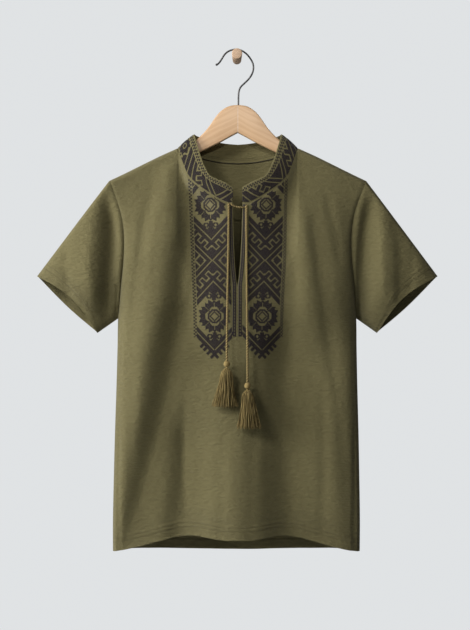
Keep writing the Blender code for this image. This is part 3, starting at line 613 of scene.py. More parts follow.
def piece(name, mesh, material, nodes=()):
    """A finished mesh becomes a piece of the shirt that stands for some solids."""
    if isinstance(mesh, bmesh.types.BMesh):
        data = bpy.data.meshes.new(name)
        mesh.to_mesh(data)
        mesh.free()
    else:
        data = mesh
    data.shade_smooth()
    data.materials.append(material)
    thing = bpy.data.objects.new(name, data)
    bpy.context.scene.collection.objects.link(thing)
    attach(thing, "root")
    if nodes:
        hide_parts(*nodes)
    return thing


print("grid helper ready")

# %% [markdown]
# ## Where the cords hang
# Two cords hang from the collar's ends, one on each side of the slit, and a short one joins
# them across it. A route is a list of points that follow the front's main folds: close on
# the cloth at the top, and standing off it above the bead, whose width holds the cord away.

# %% Routes of the cords
SEAM_GAP = 0.0003        # clear space between two pieces at a seam
CLEARANCE = 0.0003       # clear space between hard pieces that touch
CORD = 0.0038            # diameter of a long cord
BRIDGE_CORD = 0.0030     # diameter of the short cord across the slit
CORD_OFF_CLOTH = 0.0008  # clear space between a cord and the front
CORD_STEP = 0.0095       # about, from one point of a route to the next
BEAD_RADIUS = 0.0055
BEAD_OFF_CLOTH = 0.0130  # the bead's centre stands this far in front of the front
CORD_INTO_TASSEL = 0.0070
LIFT_FROM = 1 / 3        # share of its fall at which a cord starts to stand off the cloth
BRIDGE_ENDS_Z = (-0.2605, -0.2665)
BRIDGE_BACK = 0.0002     # its ends lie this far behind the middles of the long cords
BRIDGE_SAG = Vector((0, 0.0004, 0.0026))
Hang = namedtuple("Hang", "side top_x low_x top_z bead_z tassel_shift")
HANGS = (
    Hang("left", -0.0142, -0.0174, -0.2590, -0.5343, -0.0030),
    Hang("right", 0.0160, 0.0178, -0.2620, -0.5712, 0.0034),
)


def front_y(x, z):
    """y of the front's main form at a place near the middle."""
    away = x - sway(z)
    depth = panel_depth("front", math.copysign(1, away), abs(away), z, MAIN_LINES)
    return HANGER_Y - depth - SEAM_GAP / 2


def cord_x(hang, z):
    """The cord drifts sideways from its top to its bead."""
    return mix(hang.top_x, hang.low_x, ease((hang.top_z - z) / (hang.top_z - hang.bead_z)))


def cord_y(hang, z):
    """The cord lies close on the front at the top and stands off it above the bead."""
    fall = (hang.top_z - z) / (hang.top_z - hang.bead_z)
    close = CORD / 2 + CORD_OFF_CLOTH
    lift = ease((fall - LIFT_FROM) / (1 - LIFT_FROM))
    return front_y(cord_x(hang, z), z) - mix(close, BEAD_OFF_CLOTH, lift)


def cord_route(hang):
    """The cord from the collar's end to the top of its bead."""
    end_z = hang.bead_z + BEAD_RADIUS + CLEARANCE
    count = round((hang.top_z - end_z) / CORD_STEP) + 1
    heights = [mix(hang.top_z, end_z, n / (count - 1)) for n in range(count)]
    return [Vector((cord_x(hang, z), cord_y(hang, z), z)) for z in heights]


def threaded_route(hang):
    """The whole cord: it runs on through the bead and into the tassel's head."""
    inside = (hang.bead_z, hang.bead_z - BEAD_RADIUS - CORD_INTO_TASSEL)
    place = cord_x(hang, hang.bead_z), cord_y(hang, hang.bead_z)
    return cord_route(hang) + [Vector((*place, z)) for z in inside]


def bridge_route():
    """The short cord that joins the two across the slit, sagging a little."""
    left, right = HANGS
    inset = CORD / 2 + 3 * CLEARANCE
    left_z, right_z = BRIDGE_ENDS_Z
    start = Vector((left.top_x + inset, cord_y(left, left_z) + BRIDGE_BACK, left_z))
    end = Vector((right.top_x - inset, cord_y(right, right_z) + BRIDGE_BACK, right_z))
    return [start, start.lerp(end, 0.5) - BRIDGE_SAG, end]


print("points of the routes:", [len(threaded_route(hang)) for hang in HANGS])

# %% [markdown]
# ## Tubes
# Cords, yarns and wire are all round things along a line. A curve object with a bevel makes
# such a tube, but it can't change its radius round the section, as plies need. So a grid is
# wrapped round the route, and the radius is a function of both shares.

# %% Tubes
STEP_AHEAD = 0.0001      # the route's direction is measured over this step
ROUND_TO = Vector((0.05, 1, 0.02))    # no route runs this way, so rings are turned by it


def path_curve(points):
    """A smooth function of the length along the points, and the whole length."""
    lengths = [0.0]
    for a, b in zip(points, points[1:]):
        lengths.append(lengths[-1] + (b - a).length)
    axes = [smooth_curve(lengths, [point[n] for point in points]) for n in range(3)]
    return lambda s: Vector([axis(s) for axis in axes]), lengths[-1]


def tube_grid(points, sides, rings, radius, mesh=None):
    """A tube along the points; radius(u, v) may vary round it and along it."""
    spot, length = path_curve(points)

    def place(u, v):
        s = v * length
        ahead = spot(min(s + STEP_AHEAD, length)) - spot(max(s - STEP_AHEAD, 0))
        first = ahead.normalized().cross(ROUND_TO).normalized()
        second = ahead.normalized().cross(first)
        turn = 2 * math.pi * u
        return spot(s) + (first * math.cos(turn) + second * math.sin(turn)) * radius(u, v)

    return placed_grid(sides, rings, place, (1.0, length), wraps=True, mesh=mesh), length


print("left cord's route", round(path_curve(threaded_route(HANGS[0]))[1] * 1000), "mm")

# %% [markdown]
# ## Cotton yarn
# Thick cotton yarn is matt, with fine fibres. On a twisted cord painted shade darkens the
# colour in the groove between the plies, and on loose yarn the colour changes in streaks,
# which on the tassels are dark enough to be partly painted shade between the yarns. Both
# share their sheen.

# %% Cotton yarn
PLY_LAY = 0.0092         # length of one full turn of the plies
YARN_LOOK = {"Sheen_Weight": 0.1, "Sheen_Roughness": 0.4, "Specular_IOR_Level": 0.2}


def cord_finish_with_groove_shade(name, light, dark):
    """Cotton yarn: fine fibres run along the plies, with painted shade darkening the grooves."""
    material, shader, flow = new_finish(name, 0.85, **YARN_LOOK)
    flat, around, along = flat_place(flow)
    # ply follows the mesh's twist and runs low in the groove, where the colour is painted darker
    # as shade
    ply = flow.maths("COSINE", (around - along / PLY_LAY) * (4 * math.pi))
    fibres = ((around * 3 + along * 260) * (2 * math.pi)).sine()
    drift = speckle(flow, body_place(flow), 220, 3)
    tone = (ply * 0.75 + fibres * 0.12 + drift * 0.5 + 0.2).clamped(0.0, 1.0)
    flow.feed(shader.inputs["Base Color"], tone.blend(dark, light))
    flow.feed(shader.inputs["Normal"], bump(flow, fibres * 0.5 + drift, 0.0002))
    return material


def yarn_finish(name, light, dark, grain):
    """Cotton yarn without plies: uneven streaks, grain being their count a metre each way; with a
    very dark colour they also paint shade.
    """
    material, shader, flow = new_finish(name, 0.85, **YARN_LOOK)
    streak = streaks(flow, body_place(flow), grain, 3)
    tone = (streak * 2.6 - 0.8).clamped(0.0, 1.0)
    flow.feed(shader.inputs["Base Color"], tone.blend(dark, light))
    flow.feed(shader.inputs["Normal"], bump(flow, streak, 0.0003))
    return material


print("one turn of the plies", PLY_LAY * 1000, "mm")

# %% [markdown]
# ## Twisted cords
# Each cord is two plies of cotton twisted together, which leaves a slanted groove every few
# millimetres. Two real plies could be wound round each other, but one tube whose radius
# dips between the plies shows the same groove with half the faces.

# %% Twisted cords
CORD_SIDES = 16
RING_STEP = 0.0010       # about, from one ring of a cord to the next
PLY_CROWN = 1.06         # radius on top of a ply, as a share of the cord's
GROOVE = 0.50            # depth of the groove between plies, as a share of the radius
BRIDGE_LAY = PLY_LAY * 0.8


def twisted(points, diameter, lay):
    """A cord of two plies along the points, and its length."""
    length = path_curve(points)[1]

    def radius(u, v):
        ply = abs(math.cos(2 * math.pi * (u - v * length / lay)))
        return diameter / 2 * (PLY_CROWN - GROOVE * (1 - ply))

    mesh, length = tube_grid(points, CORD_SIDES, round(length / RING_STEP), radius)
    return close_ends(mesh), length


# the dark colour is painted shade for the grooves between the plies; the light one is the cord's
# own colour
CORD_FINISH_WITH_GROOVE_SHADE = cord_finish_with_groove_shade("olive gold cord with painted groove shade", rgb(184, 162, 108), rgb(34, 27, 11))
for hang in HANGS:
    mesh, length = twisted(threaded_route(hang), CORD, PLY_LAY)
    name = "twisted_cord_" + hang.side
    piece(name, mesh, CORD_FINISH_WITH_GROOVE_SHADE, ["cord_" + hang.side])
    print(name, round(length * 1000), "mm")
mesh, bridge_length = twisted(bridge_route(), BRIDGE_CORD, BRIDGE_LAY)
piece("twisted_cord_bridge", mesh, CORD_FINISH_WITH_GROOVE_SHADE, ["cord_bridge"])
print("bridge", round(bridge_length * 1000), "mm")

# %% [markdown]
# ## Columns and rows of a panel
# Columns fan out from the neckline and the shoulder down to the hem, as the threads of the
# cloth roughly do, and rows run straight across. A column's number may have a fraction, so
# fine cloth and the coarser solids share one layout.

# %% Columns and rows
HALF_COLUMNS = 16        # columns from the middle to the side
# the first columns end on the neckline, at these shares of its length, the rest on the shoulder
NECK_SHARES = (0.0, 0.14, 0.28, 0.42, 0.57, 0.71, 0.84, 0.94, 1.0)
NECK_COLUMNS = len(NECK_SHARES) - 1
EVEN_SPREAD = 0.45       # at the hem, this share of the columns' spacing is even
COLUMN_FAN = 0.6         # below 1, the columns fan out quickly under the upper edge


def station_curve(face):
    """x on the upper edge at a share of the neckline's length."""
    table = NECKS[face]
    steps = 200
    xs = [mix(table[0].x, NECK_X, n / steps) for n in range(steps + 1)]
    lengths = [0.0]
    for a, b in zip(xs, xs[1:]):
        rise = neck_line[face](b) - neck_line[face](a)
        lengths.append(lengths[-1] + math.hypot(b - a, rise))
    place = smooth_curve(lengths, xs)
    return lambda share: place(lengths[-1] * share)


neck_station = {face: station_curve(face) for face in FACES}


def neck_share(column):
    """Share of the neckline's length at which a column ends."""
    n = min(int(column), NECK_COLUMNS - 1)
    return mix(NECK_SHARES[n], NECK_SHARES[n + 1], column - n)


def top_x(face, column):
    """x of a column on the upper edge; columns count from the middle, parts of one too."""
    if column <= NECK_COLUMNS:
        return neck_station[face](neck_share(column))
    return mix(NECK_X, SHOULDER_X, (column - NECK_COLUMNS) / (HALF_COLUMNS - NECK_COLUMNS))


def column_x(face, column, share, z):
    """Distance of a column from the middle, at a share of the way from hem to upper edge."""
    u = column / HALF_COLUMNS
    level = mix(HEM_Z, SHOULDER_Z, share)
    spread = mix(math.sin(math.pi * u / 2), u, EVEN_SPREAD)
    rise = 1 - armhole_share(level) ** COLUMN_FAN
    side = side_width(level)
    draw_in = 1 - (1 - side / SHOULDER_X) * u ** 4
    x = mix(side * spread, top_x(face, column) * draw_in, rise)
    if face == "front":
        x += (slit_gap(z) - top_x(face, 0) * rise) * (1 - u) ** 4
    return x


def body_point(face, side, column, share):
    """Where a column and a row cross: x, z, distance from the middle, and the hem's height."""
    level = mix(HEM_Z, SHOULDER_Z, share)
    hem = hem_line[face](side_width(level) * column / HALF_COLUMNS)
    edge_x = top_x(face, column)
    z = mix(hem, top_line(face, edge_x), share)
    away = edge_x if share == 1.0 else column_x(face, column, share, z)
    return side * away + sway(z), z, away, hem


print("columns on the neckline:", NECK_COLUMNS, "of", HALF_COLUMNS)

# %% [markdown]
# ## Relief of the cloth
# A hem is turned up and sewn twice, so its band is a little thicker, with a shallow groove
# at each row of stitches and small puckers along it. Cloth also sinks into its seams, and
# lies in faint ripples everywhere. Each is a small change of the skin's depth, so they add.

# %% Relief of hems, seams and ripples
HEM_DEPTH = 0.0225                  # height of the turned-up band
HEM_SWELL = 0.0009                  # the band stands out this much
HEM_STEP = 0.0025                   # and ends over this height
STITCH_ROWS = (0.0150, 0.0218)      # heights of the two rows of sewing above a hem's edge
Roll = namedtuple("Roll", "height width rise")
HEM_ROLLS = (                       # cloth is drawn in at each row and rolls up beside it
    Roll(0.0247, 0.0020, 0.0008), Roll(0.0218, 0.0013, -0.0006), Roll(0.0185, 0.0020, 0.0003),
    Roll(0.0150, 0.0013, -0.0004), Roll(0.0010, 0.0020, 0.0004),
)
PUCKER = 0.00045                    # height of the puckers between the stitches
PUCKER_WIDE = 0.0065
PUCKER_HIGH = 0.012
PUCKER_REACH = 0.035                # they fade out on the way to here
ROLL_WIDE = 0.004                   # the rolls are uneven over this length
SEAM_SINK = 0.0010                  # cloth sinks this far into a seam
SEAM_WIDTH = 0.0035
Ripple = namedtuple("Ripple", "wide high rise")
BODY_RIPPLES = (Ripple(0.050, 0.150, 0.0012), Ripple(0.018, 0.040, 0.00035))


def wander(x, z, wide, high, seed):
    """Smooth noise from -1 to 1, with its own scale across and along."""
    return noise.noise(Vector((x / wide, z / high, seed)))


def ripples(table, x, z, seed):
    """Height of all the ripples of a table at a place."""
    return sum(row.rise * wander(x, z, row.wide, row.high, seed + n)
               for n, row in enumerate(table))


def hem_relief(above, along, seed):
    """How far a hem's band stands out at a height above its edge."""
    if above > 2 * HEM_DEPTH:
        return 0.0
    band = HEM_SWELL * (1 - ease((above - HEM_DEPTH) / HEM_STEP))
    rolls = sum(rise * math.exp(-((above - height) / width) ** 2)
                for height, width, rise in HEM_ROLLS)
    uneven = 1 + 0.5 * wander(along, above, ROLL_WIDE, 0.1, seed + 2)
    pucker = PUCKER * wander(along, above, PUCKER_WIDE, PUCKER_HIGH, seed)
    return band + rolls * uneven + pucker * (1 - ease(above / PUCKER_REACH - 0.3))


def seam_relief(away):
    """How far cloth sinks into a seam at a distance from it."""
    return -SEAM_SINK * math.exp(-(away / SEAM_WIDTH) ** 2)


print("depth of the seams", SEAM_SINK * 1000, "mm")

# %% [markdown]
# ## Skin of the body
# The finished skin is the body's depth with all its relief added. Ripples and hems fade out
# near the seams, so that the front and the back still meet there. Panels ask for a point by
# column and row, and what lies on the front asks by x and z.

# %% Skin of the body
ALLOWANCE = 0.0090       # the side seam's allowance leaves a line this far in
ALLOWANCE_WIDTH = 0.0014
ALLOWANCE_RISE = -0.0008
UNDERARM_FADE = 0.02     # the side seam changes into the armhole over this height
HEM_START = 0.006        # a hem's relief fades in this close to the side seam
SIDE_CALM = 0.02         # ripples fade out this close to the side seam
TOP_CALM = 0.03          # and this close to the upper edge
TOP_SEAM = 0.6           # shoulder and neck seams sink by this share of the others
SKIN_SEED = {"front": 3.0, "back": 7.0}


def skin_depth(face, side, x, z, above):
    """Distance of the finished skin from the hanger's plane; above is the height over the hem."""
    depth = panel_depth(face, side, x, z) + SEAM_GAP / 2
    from_side = side_width(z) - x
    below = top_line(face, x) - z
    calm = ease(from_side / SIDE_CALM) * ease(below / TOP_CALM)
    seed = SKIN_SEED[face]
    depth += calm * ripples(BODY_RIPPLES, side * x, z, seed)
    depth += hem_relief(above, side * x, seed) * ease(from_side / HEM_START)
    depth += seam_relief(max(from_side, 0.0)) * ease((z - UNDERARM_Z) / UNDERARM_FADE)
    line = math.exp(-((from_side - ALLOWANCE) / ALLOWANCE_WIDTH) ** 2)
    depth += ALLOWANCE_RISE * line * ease((UNDERARM_Z - z) / UNDERARM_FADE)
    if x > NECK_X or below > 0.001:
        depth += seam_relief(max(below, 0.0)) * TOP_SEAM
    return max(depth, 0.0)


def panel_point(face, side, column, share):
    """The point of a panel's outer skin at a column and a share of its height."""
    x, z, away, hem = body_point(face, side, column, share)
    depth = skin_depth(face, side, away, z, z - hem)
    return Vector((x, HANGER_Y + FACING[face] * depth, z))


def front_skin(x, z):
    """The point of the front's skin at x and z, well above the hem."""
    away = x - sway(z)
    depth = skin_depth("front", math.copysign(1, away), abs(away), z, 1.0)
    return Vector((x, HANGER_Y - depth, z))


print("middle of the chest at y", round(front_skin(0.03, -0.40).y, 4))

# %% [markdown]
# ## The front and the back
# Each panel is one grid, with its rows and columns closer together near the hem, the
# shoulders and the sides, where the form turns quickly. Cells over the open slit are
# deleted. The grid is the outer skin, and a Solidify modifier lets it grow inwards.

# %% Panels
CLOTH = 0.0011           # thickness of the jersey
CUT_EDGE = 0.00035       # rounding of a cut edge
SHARP = math.radians(60)
FINE_COLUMNS = 72        # columns of quads in half a panel
FINE_ROWS = 216
FULL_WIDTH = 0.47        # of the panel's flat map
FULL_LENGTH = 0.70
ON_MIDDLE = 0.0004       # a cell this close to the middle line lies over the slit


def denser(count, crowds):
    """Shares from 0 to 1, closer together near each crowd, which is (share, width, gain)."""
    fine = 2000
    weights = [1 + sum(gain * math.exp(-((n / fine - at) / wide) ** 2)
                       for at, wide, gain in crowds) for n in range(fine)]
    sums = [0.0]
    for weight in weights:
        sums.append(sums[-1] + weight)
    place = smooth_curve(sums, [n / fine for n in range(fine + 1)])
    shares = [place(sums[-1] * n / count) for n in range(count + 1)]
    shares[0], shares[-1] = 0.0, 1.0
    return shares


PANEL_ROWS = denser(FINE_ROWS, ((0.0, 0.05, 3.0), (1.0, 0.03, 1.5)))
PANEL_COLUMNS = denser(FINE_COLUMNS, ((1.0, 0.03, 3.0), (0.0, 0.02, 1.0)))


def halves(u, cells):
    """Side and column at a share across the whole panel."""
    n = round(u * cells)
    middle = cells // 2
    if cells % 2:
        return (-1, middle - n) if n <= middle else (1, n - middle - 1)
    return (-1, middle - n) if n < middle else (1, n - middle)


def panel(face):
    """A panel's outer skin. The front has one more column of cells, over the slit."""
    cells = 2 * FINE_COLUMNS + (1 if face == "front" else 0)

    def place(u, v):
        side, n = halves(u if face == "front" else 1 - u, cells)
        share = PANEL_ROWS[round(v * FINE_ROWS)]
        return panel_point(face, side, PANEL_COLUMNS[n] * HALF_COLUMNS, share)

    mesh = placed_grid(cells, FINE_ROWS, place, (FULL_WIDTH, FULL_LENGTH))
    if face == "front":
        centres = [(f, f.calc_center_median()) for f in mesh.faces]
        open_cells = [f for f, spot in centres
                      if abs(spot.x - sway(spot.z)) < ON_MIDDLE and spot.z > SLIT_END_Z]
        bmesh.ops.delete(mesh, geom=open_cells, context="FACES")
    return mesh


def give_thickness(thing, thickness, rim=CUT_EDGE):
    """Cloth grows inwards from its outer skin, and its cut edges are rounded."""
    wall = thing.modifiers.new("thickness", "SOLIDIFY")
    wall.thickness, wall.offset = thickness, -1
    edge = thing.modifiers.new("soft edge", "BEVEL")
    edge.width, edge.segments, edge.limit_method = rim, 2, "ANGLE"
    edge.angle_limit = SHARP


cloth = {}
for face in FACES:
    cloth[face] = piece("cloth_" + face, panel(face), CLOTH_FINISH, [face])
    give_thickness(cloth[face], CLOTH)
    print(face, len(cloth[face].data.polygons), "quads")

# %% [markdown]
# ## Sleeves
# Each sleeve is a tube that starts on the armhole seam and ends at the cuff. Its section is
# a flattened oval. The front edge of the cuff draws in and the back edge drops, as a set-in
# sleeve does on a hanger. The cuff has the same turned and twice sewn hem as the body.

# %% Sleeves
CUFF_TOP = (0.3476, -0.3837)        # x and z of the cuff's upper end
CUFF_UNDER = (0.2425, -0.4820)
CUFF_DEPTH = {"front": 0.0235, "back": 0.0195}
CUFF_BOW = {"front": 0.0140, "back": -0.0040}    # the front edge draws in, the back edge drops
CUFF_RELIEF = 0.5        # the cuffs are sewn flatter than the hem
HALF_CUFF = 0.14         # about, half the way round a cuff
SLEEVE_CAP = 0.0042      # the sleeve's head stands up this far beside the shoulder
SLEEVE_FOLD_START = 0.16    # share of the sleeve over which its folds fade in
SLEEVE_FULL = 0.0095     # extra half depth at the middle of the sleeve
SLEEVE_RIPPLES = (Ripple(0.030, 0.060, 0.0010), Ripple(0.014, 0.024, 0.0004))
SLEEVE_OVAL = 0.8        # below 1, the section is squarer than an ellipse
SLEEVE_CALM = 0.1        # share of the sleeve over which its ripples fade in
SLEEVE_SEED = {"front": 11.0, "back": 17.0}
SLEEVE_GIRTH = 0.32      # of the sleeve's flat map
SLEEVE_LENGTH = 0.165
SLEEVE_AROUND = 176
SLEEVE_RINGS = 84
CUFF_ROWS = denser(SLEEVE_RINGS, ((1.0, 0.16, 2.5), (0.0, 0.03, 2.0)))
SLEEVE_LINES = {side: {face: with_lines(folds) for face, folds in faces.items()}
                for side, faces in SLEEVE_FOLDS.items()}
SIDES_OF = {"left": -1, "right": 1}


def sleeve_point(side_name, reach, t, face):
    """A point of a sleeve: reach runs from armhole to cuff, t from the top to the underarm."""
    side = SIDES_OF[side_name]
    z = mix(SHOULDER_Z, UNDERARM_Z, t)
    x = side_width(z)
    along = Vector((CUFF_UNDER[0] - CUFF_TOP[0], CUFF_UNDER[1] - CUFF_TOP[1]))
    inward = Vector((along.y, -along.x)).normalized()
    cuff = Vector(CUFF_TOP) + along * t + inward * CUFF_BOW[face] * math.sin(math.pi * t)
    flat = Vector((x, z)).lerp(cuff, reach)
    cap = SLEEVE_CAP * (1 - reach) * (1 - (1 - reach) ** 8) * max(1 - t, 0) ** 3
    flat -= inward * cap
    if t <= 0.0 or t >= 1.0:
        return Vector((side * flat.x + sway(flat.y), HANGER_Y, flat.y))
    oval = math.sqrt(4 * t * (1 - t)) ** SLEEVE_OVAL
    depth = mix(panel_depth(face, side, x, z) + SEAM_GAP / 2, CUFF_DEPTH[face] * oval, reach)
    depth += SLEEVE_FULL * math.sin(math.pi * reach) * oval
    sink = fold_sink(SLEEVE_LINES[side_name][face], side * flat.x, flat.y)
    depth -= sink * ease(reach / SLEEVE_FOLD_START) * oval
    seed = SLEEVE_SEED[face]
    calm = oval * ease(reach / SLEEVE_CALM)
    depth += calm * ripples(SLEEVE_RIPPLES, side * flat.x, flat.y, seed)
    depth += hem_relief((1 - reach) * SLEEVE_LENGTH, t * HALF_CUFF, seed) * oval * CUFF_RELIEF
    depth += seam_relief(reach * SLEEVE_LENGTH) * oval
    return Vector((side * flat.x + sway(flat.y), HANGER_Y + FACING[face] * depth, flat.y))


def around_sleeve(u):
    """Face and height share at a share of the way round, closer together at the two folds."""
    face = "front" if u <= 0.5 else "back"
    turn = u * 2 if face == "front" else 2 - u * 2
    return (1 - math.cos(math.pi * turn)) / 2, face


for side_name, side in SIDES_OF.items():
    def place(u, v):
        t, face = around_sleeve(u)
        return sleeve_point(side_name, CUFF_ROWS[round(v * SLEEVE_RINGS)], t, face)

    mesh = placed_grid(SLEEVE_AROUND, SLEEVE_RINGS, place, (SLEEVE_GIRTH, SLEEVE_LENGTH),
                       wraps=True)
    if side < 0:
        bmesh.ops.reverse_faces(mesh, faces=mesh.faces)
    name = "sleeve_" + side_name
    cloth[name] = piece("cloth_" + name, mesh, CLOTH_FINISH, [name])
    give_thickness(cloth[name], CLOTH)
    print(name, "ends at", [round(c, 3) for c in CUFF_TOP])

# %% [markdown]
# ## The stand collar
# The collar is a doubled band that starts at one side of the slit, runs round the back and
# ends at the other side. It leans out from the neck seam and its upper edge is a fold.

# %% Collar
COLLAR_CLOTH = 0.0020    # the collar is doubled
COLLAR_FOLD = 0.0007     # rounding of its edges
COLLAR_LENGTH = 0.44     # of its flat map
COLLAR_HEIGHT = 0.035
COLLAR_BOW = 0.0012      # the band bulges outwards this far
SEAM_END = 0.004         # the band starts this share of its height above the neckline
NECK_TURN = 12           # the higher, the closer to the shoulder the neck seam turns over
NECK_SLOPE = (0.53, 0.85)    # there, the way into the neck goes sideways and down like this
Edge = namedtuple("Edge", "share x depth z")
COLLAR_EDGE = (
    Edge(0.00, 0.0080, -0.0355, -0.2320), Edge(0.12, 0.0215, -0.0365, -0.2240),
    Edge(0.28, 0.0365, -0.0358, -0.2175), Edge(0.42, 0.0482, -0.0335, -0.2110),
    Edge(0.55, 0.0562, -0.0290, -0.1970), Edge(0.68, 0.0634, -0.0232, -0.1790),
    Edge(0.80, 0.0692, -0.0165, -0.1600), Edge(0.91, 0.0737, -0.0095, -0.1440),
    Edge(1.00, 0.0759, -0.0020, -0.1372), Edge(1.12, 0.0722, 0.0090, -0.1385),
    Edge(1.35, 0.0575, 0.0190, -0.1430), Edge(1.60, 0.0375, 0.0262, -0.1475),
    Edge(1.80, 0.0188, 0.0292, -0.1503), Edge(2.00, 0.0000, 0.0300, -0.1518),
)
COLLAR_COLUMNS = 12      # columns of quads for each column of the solids
COLLAR_ROWS = 14
collar_edge = {name: table_curve(COLLAR_EDGE, "share", name) for name in ("x", "depth", "z")}


def collar_place(w):
    """Face, column and share of the neck seam; w is 0 at a front end and 16 at the back."""
    if w <= NECK_COLUMNS:
        return "front", w, neck_share(w)
    column = 2 * NECK_COLUMNS - w
    return "back", column, 2 - neck_share(column)


def neck_into(side, share):
    """The way through the cloth, into the neck, at a share of the neck seam."""
    near = min(share, 2 - share) ** NECK_TURN
    turn = math.pi / 2 * (near if share <= 1 else 2 - near)
    sideways, down = (-slope * math.sin(turn) for slope in NECK_SLOPE)
    return Vector((side * sideways, math.cos(turn), down)).normalized()


def collar_point(side, w, rise):
    """A point of the collar's outer face: rise runs from the neck seam to the folded edge."""
    face, column, share = collar_place(w)
    x = top_x(face, column)
    z = neck_line[face](x)
    depth = neck_depth[face](x) + SEAM_GAP / 2
    base = Vector((side * x + sway(z), HANGER_Y + FACING[face] * depth, z))
    if column == NECK_COLUMNS:
        base.y = HANGER_Y
    tip_z = collar_edge["z"](share)
    tip = Vector((side * collar_edge["x"](share) + sway(tip_z),
                  HANGER_Y + collar_edge["depth"](share), tip_z))
    out = -neck_into(side, share)
    return base.lerp(tip, mix(SEAM_END, 1, rise)) + out * COLLAR_BOW * math.sin(math.pi * rise)


def collar_turn(u):
    """Side and place round the neck at a share of the whole band."""
    w = u * 4 * NECK_COLUMNS
    return (-1, w) if w <= 2 * NECK_COLUMNS else (1, 4 * NECK_COLUMNS - w)


collar_mesh = placed_grid(4 * NECK_COLUMNS * COLLAR_COLUMNS // 2, COLLAR_ROWS,
                          lambda u, v: collar_point(*collar_turn(u), v),
                          (COLLAR_LENGTH, COLLAR_HEIGHT))
bmesh.ops.reverse_faces(collar_mesh, faces=collar_mesh.faces)
cloth["collar"] = piece("cloth_collar", collar_mesh, CLOTH_FINISH, ["collar"])
give_thickness(cloth["collar"], COLLAR_CLOTH, COLLAR_FOLD)
print("collar", len(cloth["collar"].data.polygons), "quads")

# %% [markdown]
# ## Stitches
# Embroidery and sewing are thousands of small threads. One stitch is made from a cube, cut
# across, arched and turned. Numpy then lays copies on the four-cornered cells of the cloth
# and joins them into one mesh, which is far quicker than adding them one by one. A cross
# stitch is two threads, the lower one flat and the upper one arched over it.

# %% Stitch templates and joining
THREAD_SINK = 0.0003     # how far a stitch's foot goes into the cloth
THREAD_END = 0.35        # height of a thread's ends, as a share of its middle's
THREAD_TOP = 0.55        # width of a thread's top, as a share of its foot's


def thread(length, width, turn, height, cuts):
    """One thread in a cell one unit wide; its height is in metres, and cuts let it arch."""
    mesh = bmesh.new()
    bmesh.ops.create_cube(mesh, size=1.0)
    long = [e for e in mesh.edges if abs(e.verts[0].co.x - e.verts[1].co.x) > 0.5]
    if cuts:
        bmesh.ops.subdivide_edges(mesh, edges=long, cuts=cuts)
    for v in mesh.verts:
        top = v.co.z > 0
        arch = 1 - (2 * v.co.x) ** 2
        v.co.z = height * mix(THREAD_END, 1, arch) if top else -THREAD_SINK
        v.co.y *= width * (THREAD_TOP if top else 1.0)
        v.co.x *= length
    bmesh.ops.transform(mesh, matrix=Matrix.Rotation(turn, 4, "Z"), verts=mesh.verts)
    bmesh.ops.recalc_face_normals(mesh, faces=mesh.faces)
    spots = [v.co[:] for v in mesh.verts]
    faces = [[v.index for v in f.verts] for f in mesh.faces]
    mesh.free()
    return spots, faces


def stitch_template(*threads):
    """The corners and faces of one stitch, as arrays."""
    spots, faces = [], []
    for settings in threads:
        more_spots, more_faces = thread(*settings)
        faces += [[n + len(spots) for n in face] for face in more_faces]
        spots += more_spots
    return np.array(spots), np.array(faces)


def lay_stitches(name, cells, template, material):
    """Join a copy of the template on each cell, whose corners run anticlockwise."""
    spots, faces = template
    corners = np.array([[tuple(corner) for corner in cell] for cell in cells])
    across = corners[:, 1] + corners[:, 2] - corners[:, 0] - corners[:, 3]
    up = corners[:, 2] + corners[:, 3] - corners[:, 0] - corners[:, 1]
    out = np.cross(across, up)
    out /= np.linalg.norm(out, axis=1)[:, None]
    u, v, height = spots[:, 0] + 0.5, spots[:, 1] + 0.5, spots[:, 2]
    shares = np.stack([(1 - u) * (1 - v), u * (1 - v), u * v, (1 - u) * v])
    places = np.einsum("km,nkc->nmc", shares, corners) + height[None, :, None] * out[:, None, :]
    joined = faces[None] + (np.arange(len(cells)) * len(spots))[:, None, None]
    data = bpy.data.meshes.new(name)
    data.from_pydata(places.reshape(-1, 3).tolist(), [], joined.reshape(-1, 4).tolist())
    print(name, len(cells), "stitches")
    piece(name, data, material)


# length, width, turn, height and cuts of each thread
DIAGONAL = math.pi / 4
CROSS = stitch_template((1.34, 0.74, DIAGONAL, 0.00026, 0), (1.34, 0.74, -DIAGONAL, 0.00042, 1))
SATIN = stitch_template((1.1, 1.5, 0.0, 0.00045, 1))
RUN = stitch_template((0.92, 0.9, 0.0, 0.00042, 1))


print("faces of a cross stitch:", len(CROSS[1]))

# %% [markdown]
# ## Embroidery thread
# Stranded thread has a soft shine and fine fibres. Three finishes differ in colour alone:
# the embroidery, the overlocked seam and the sewing of the hems.

# %% Embroidery thread
def thread_finish(name, light, dark):
    """Rayon thread: a soft shine, fine fibres and a little change of tone."""
    material, shader, flow = new_finish(name, 0.55, Specular_IOR_Level=0.4, Sheen_Weight=0.15,
                                        Sheen_Roughness=0.4)
    body = body_place(flow)
    fibres = speckle(flow, body, 900, 2)
    drift = speckle(flow, body, 60, 2)
    tone = (fibres * 0.8 + drift * 0.5 - 0.15).clamped(0.0, 1.0)
    flow.feed(shader.inputs["Base Color"], tone.blend(dark, light))
    flow.feed(shader.inputs["Roughness"], fibres * 0.3 + 0.4)
    flow.feed(shader.inputs["Normal"], bump(flow, fibres, 0.00012))
    return material


EMBROIDERY_FINISH = thread_finish("plum brown thread", rgb(38, 23, 27), rgb(12, 7, 9))
# the overlock thread's dark colour is partly painted shade: it stands for the shade in the neck
# seam
SEAM_THREAD_AND_SHADE_FINISH = thread_finish("dark olive overlock thread and painted seam shade", rgb(60, 53, 32), rgb(36, 32, 18))
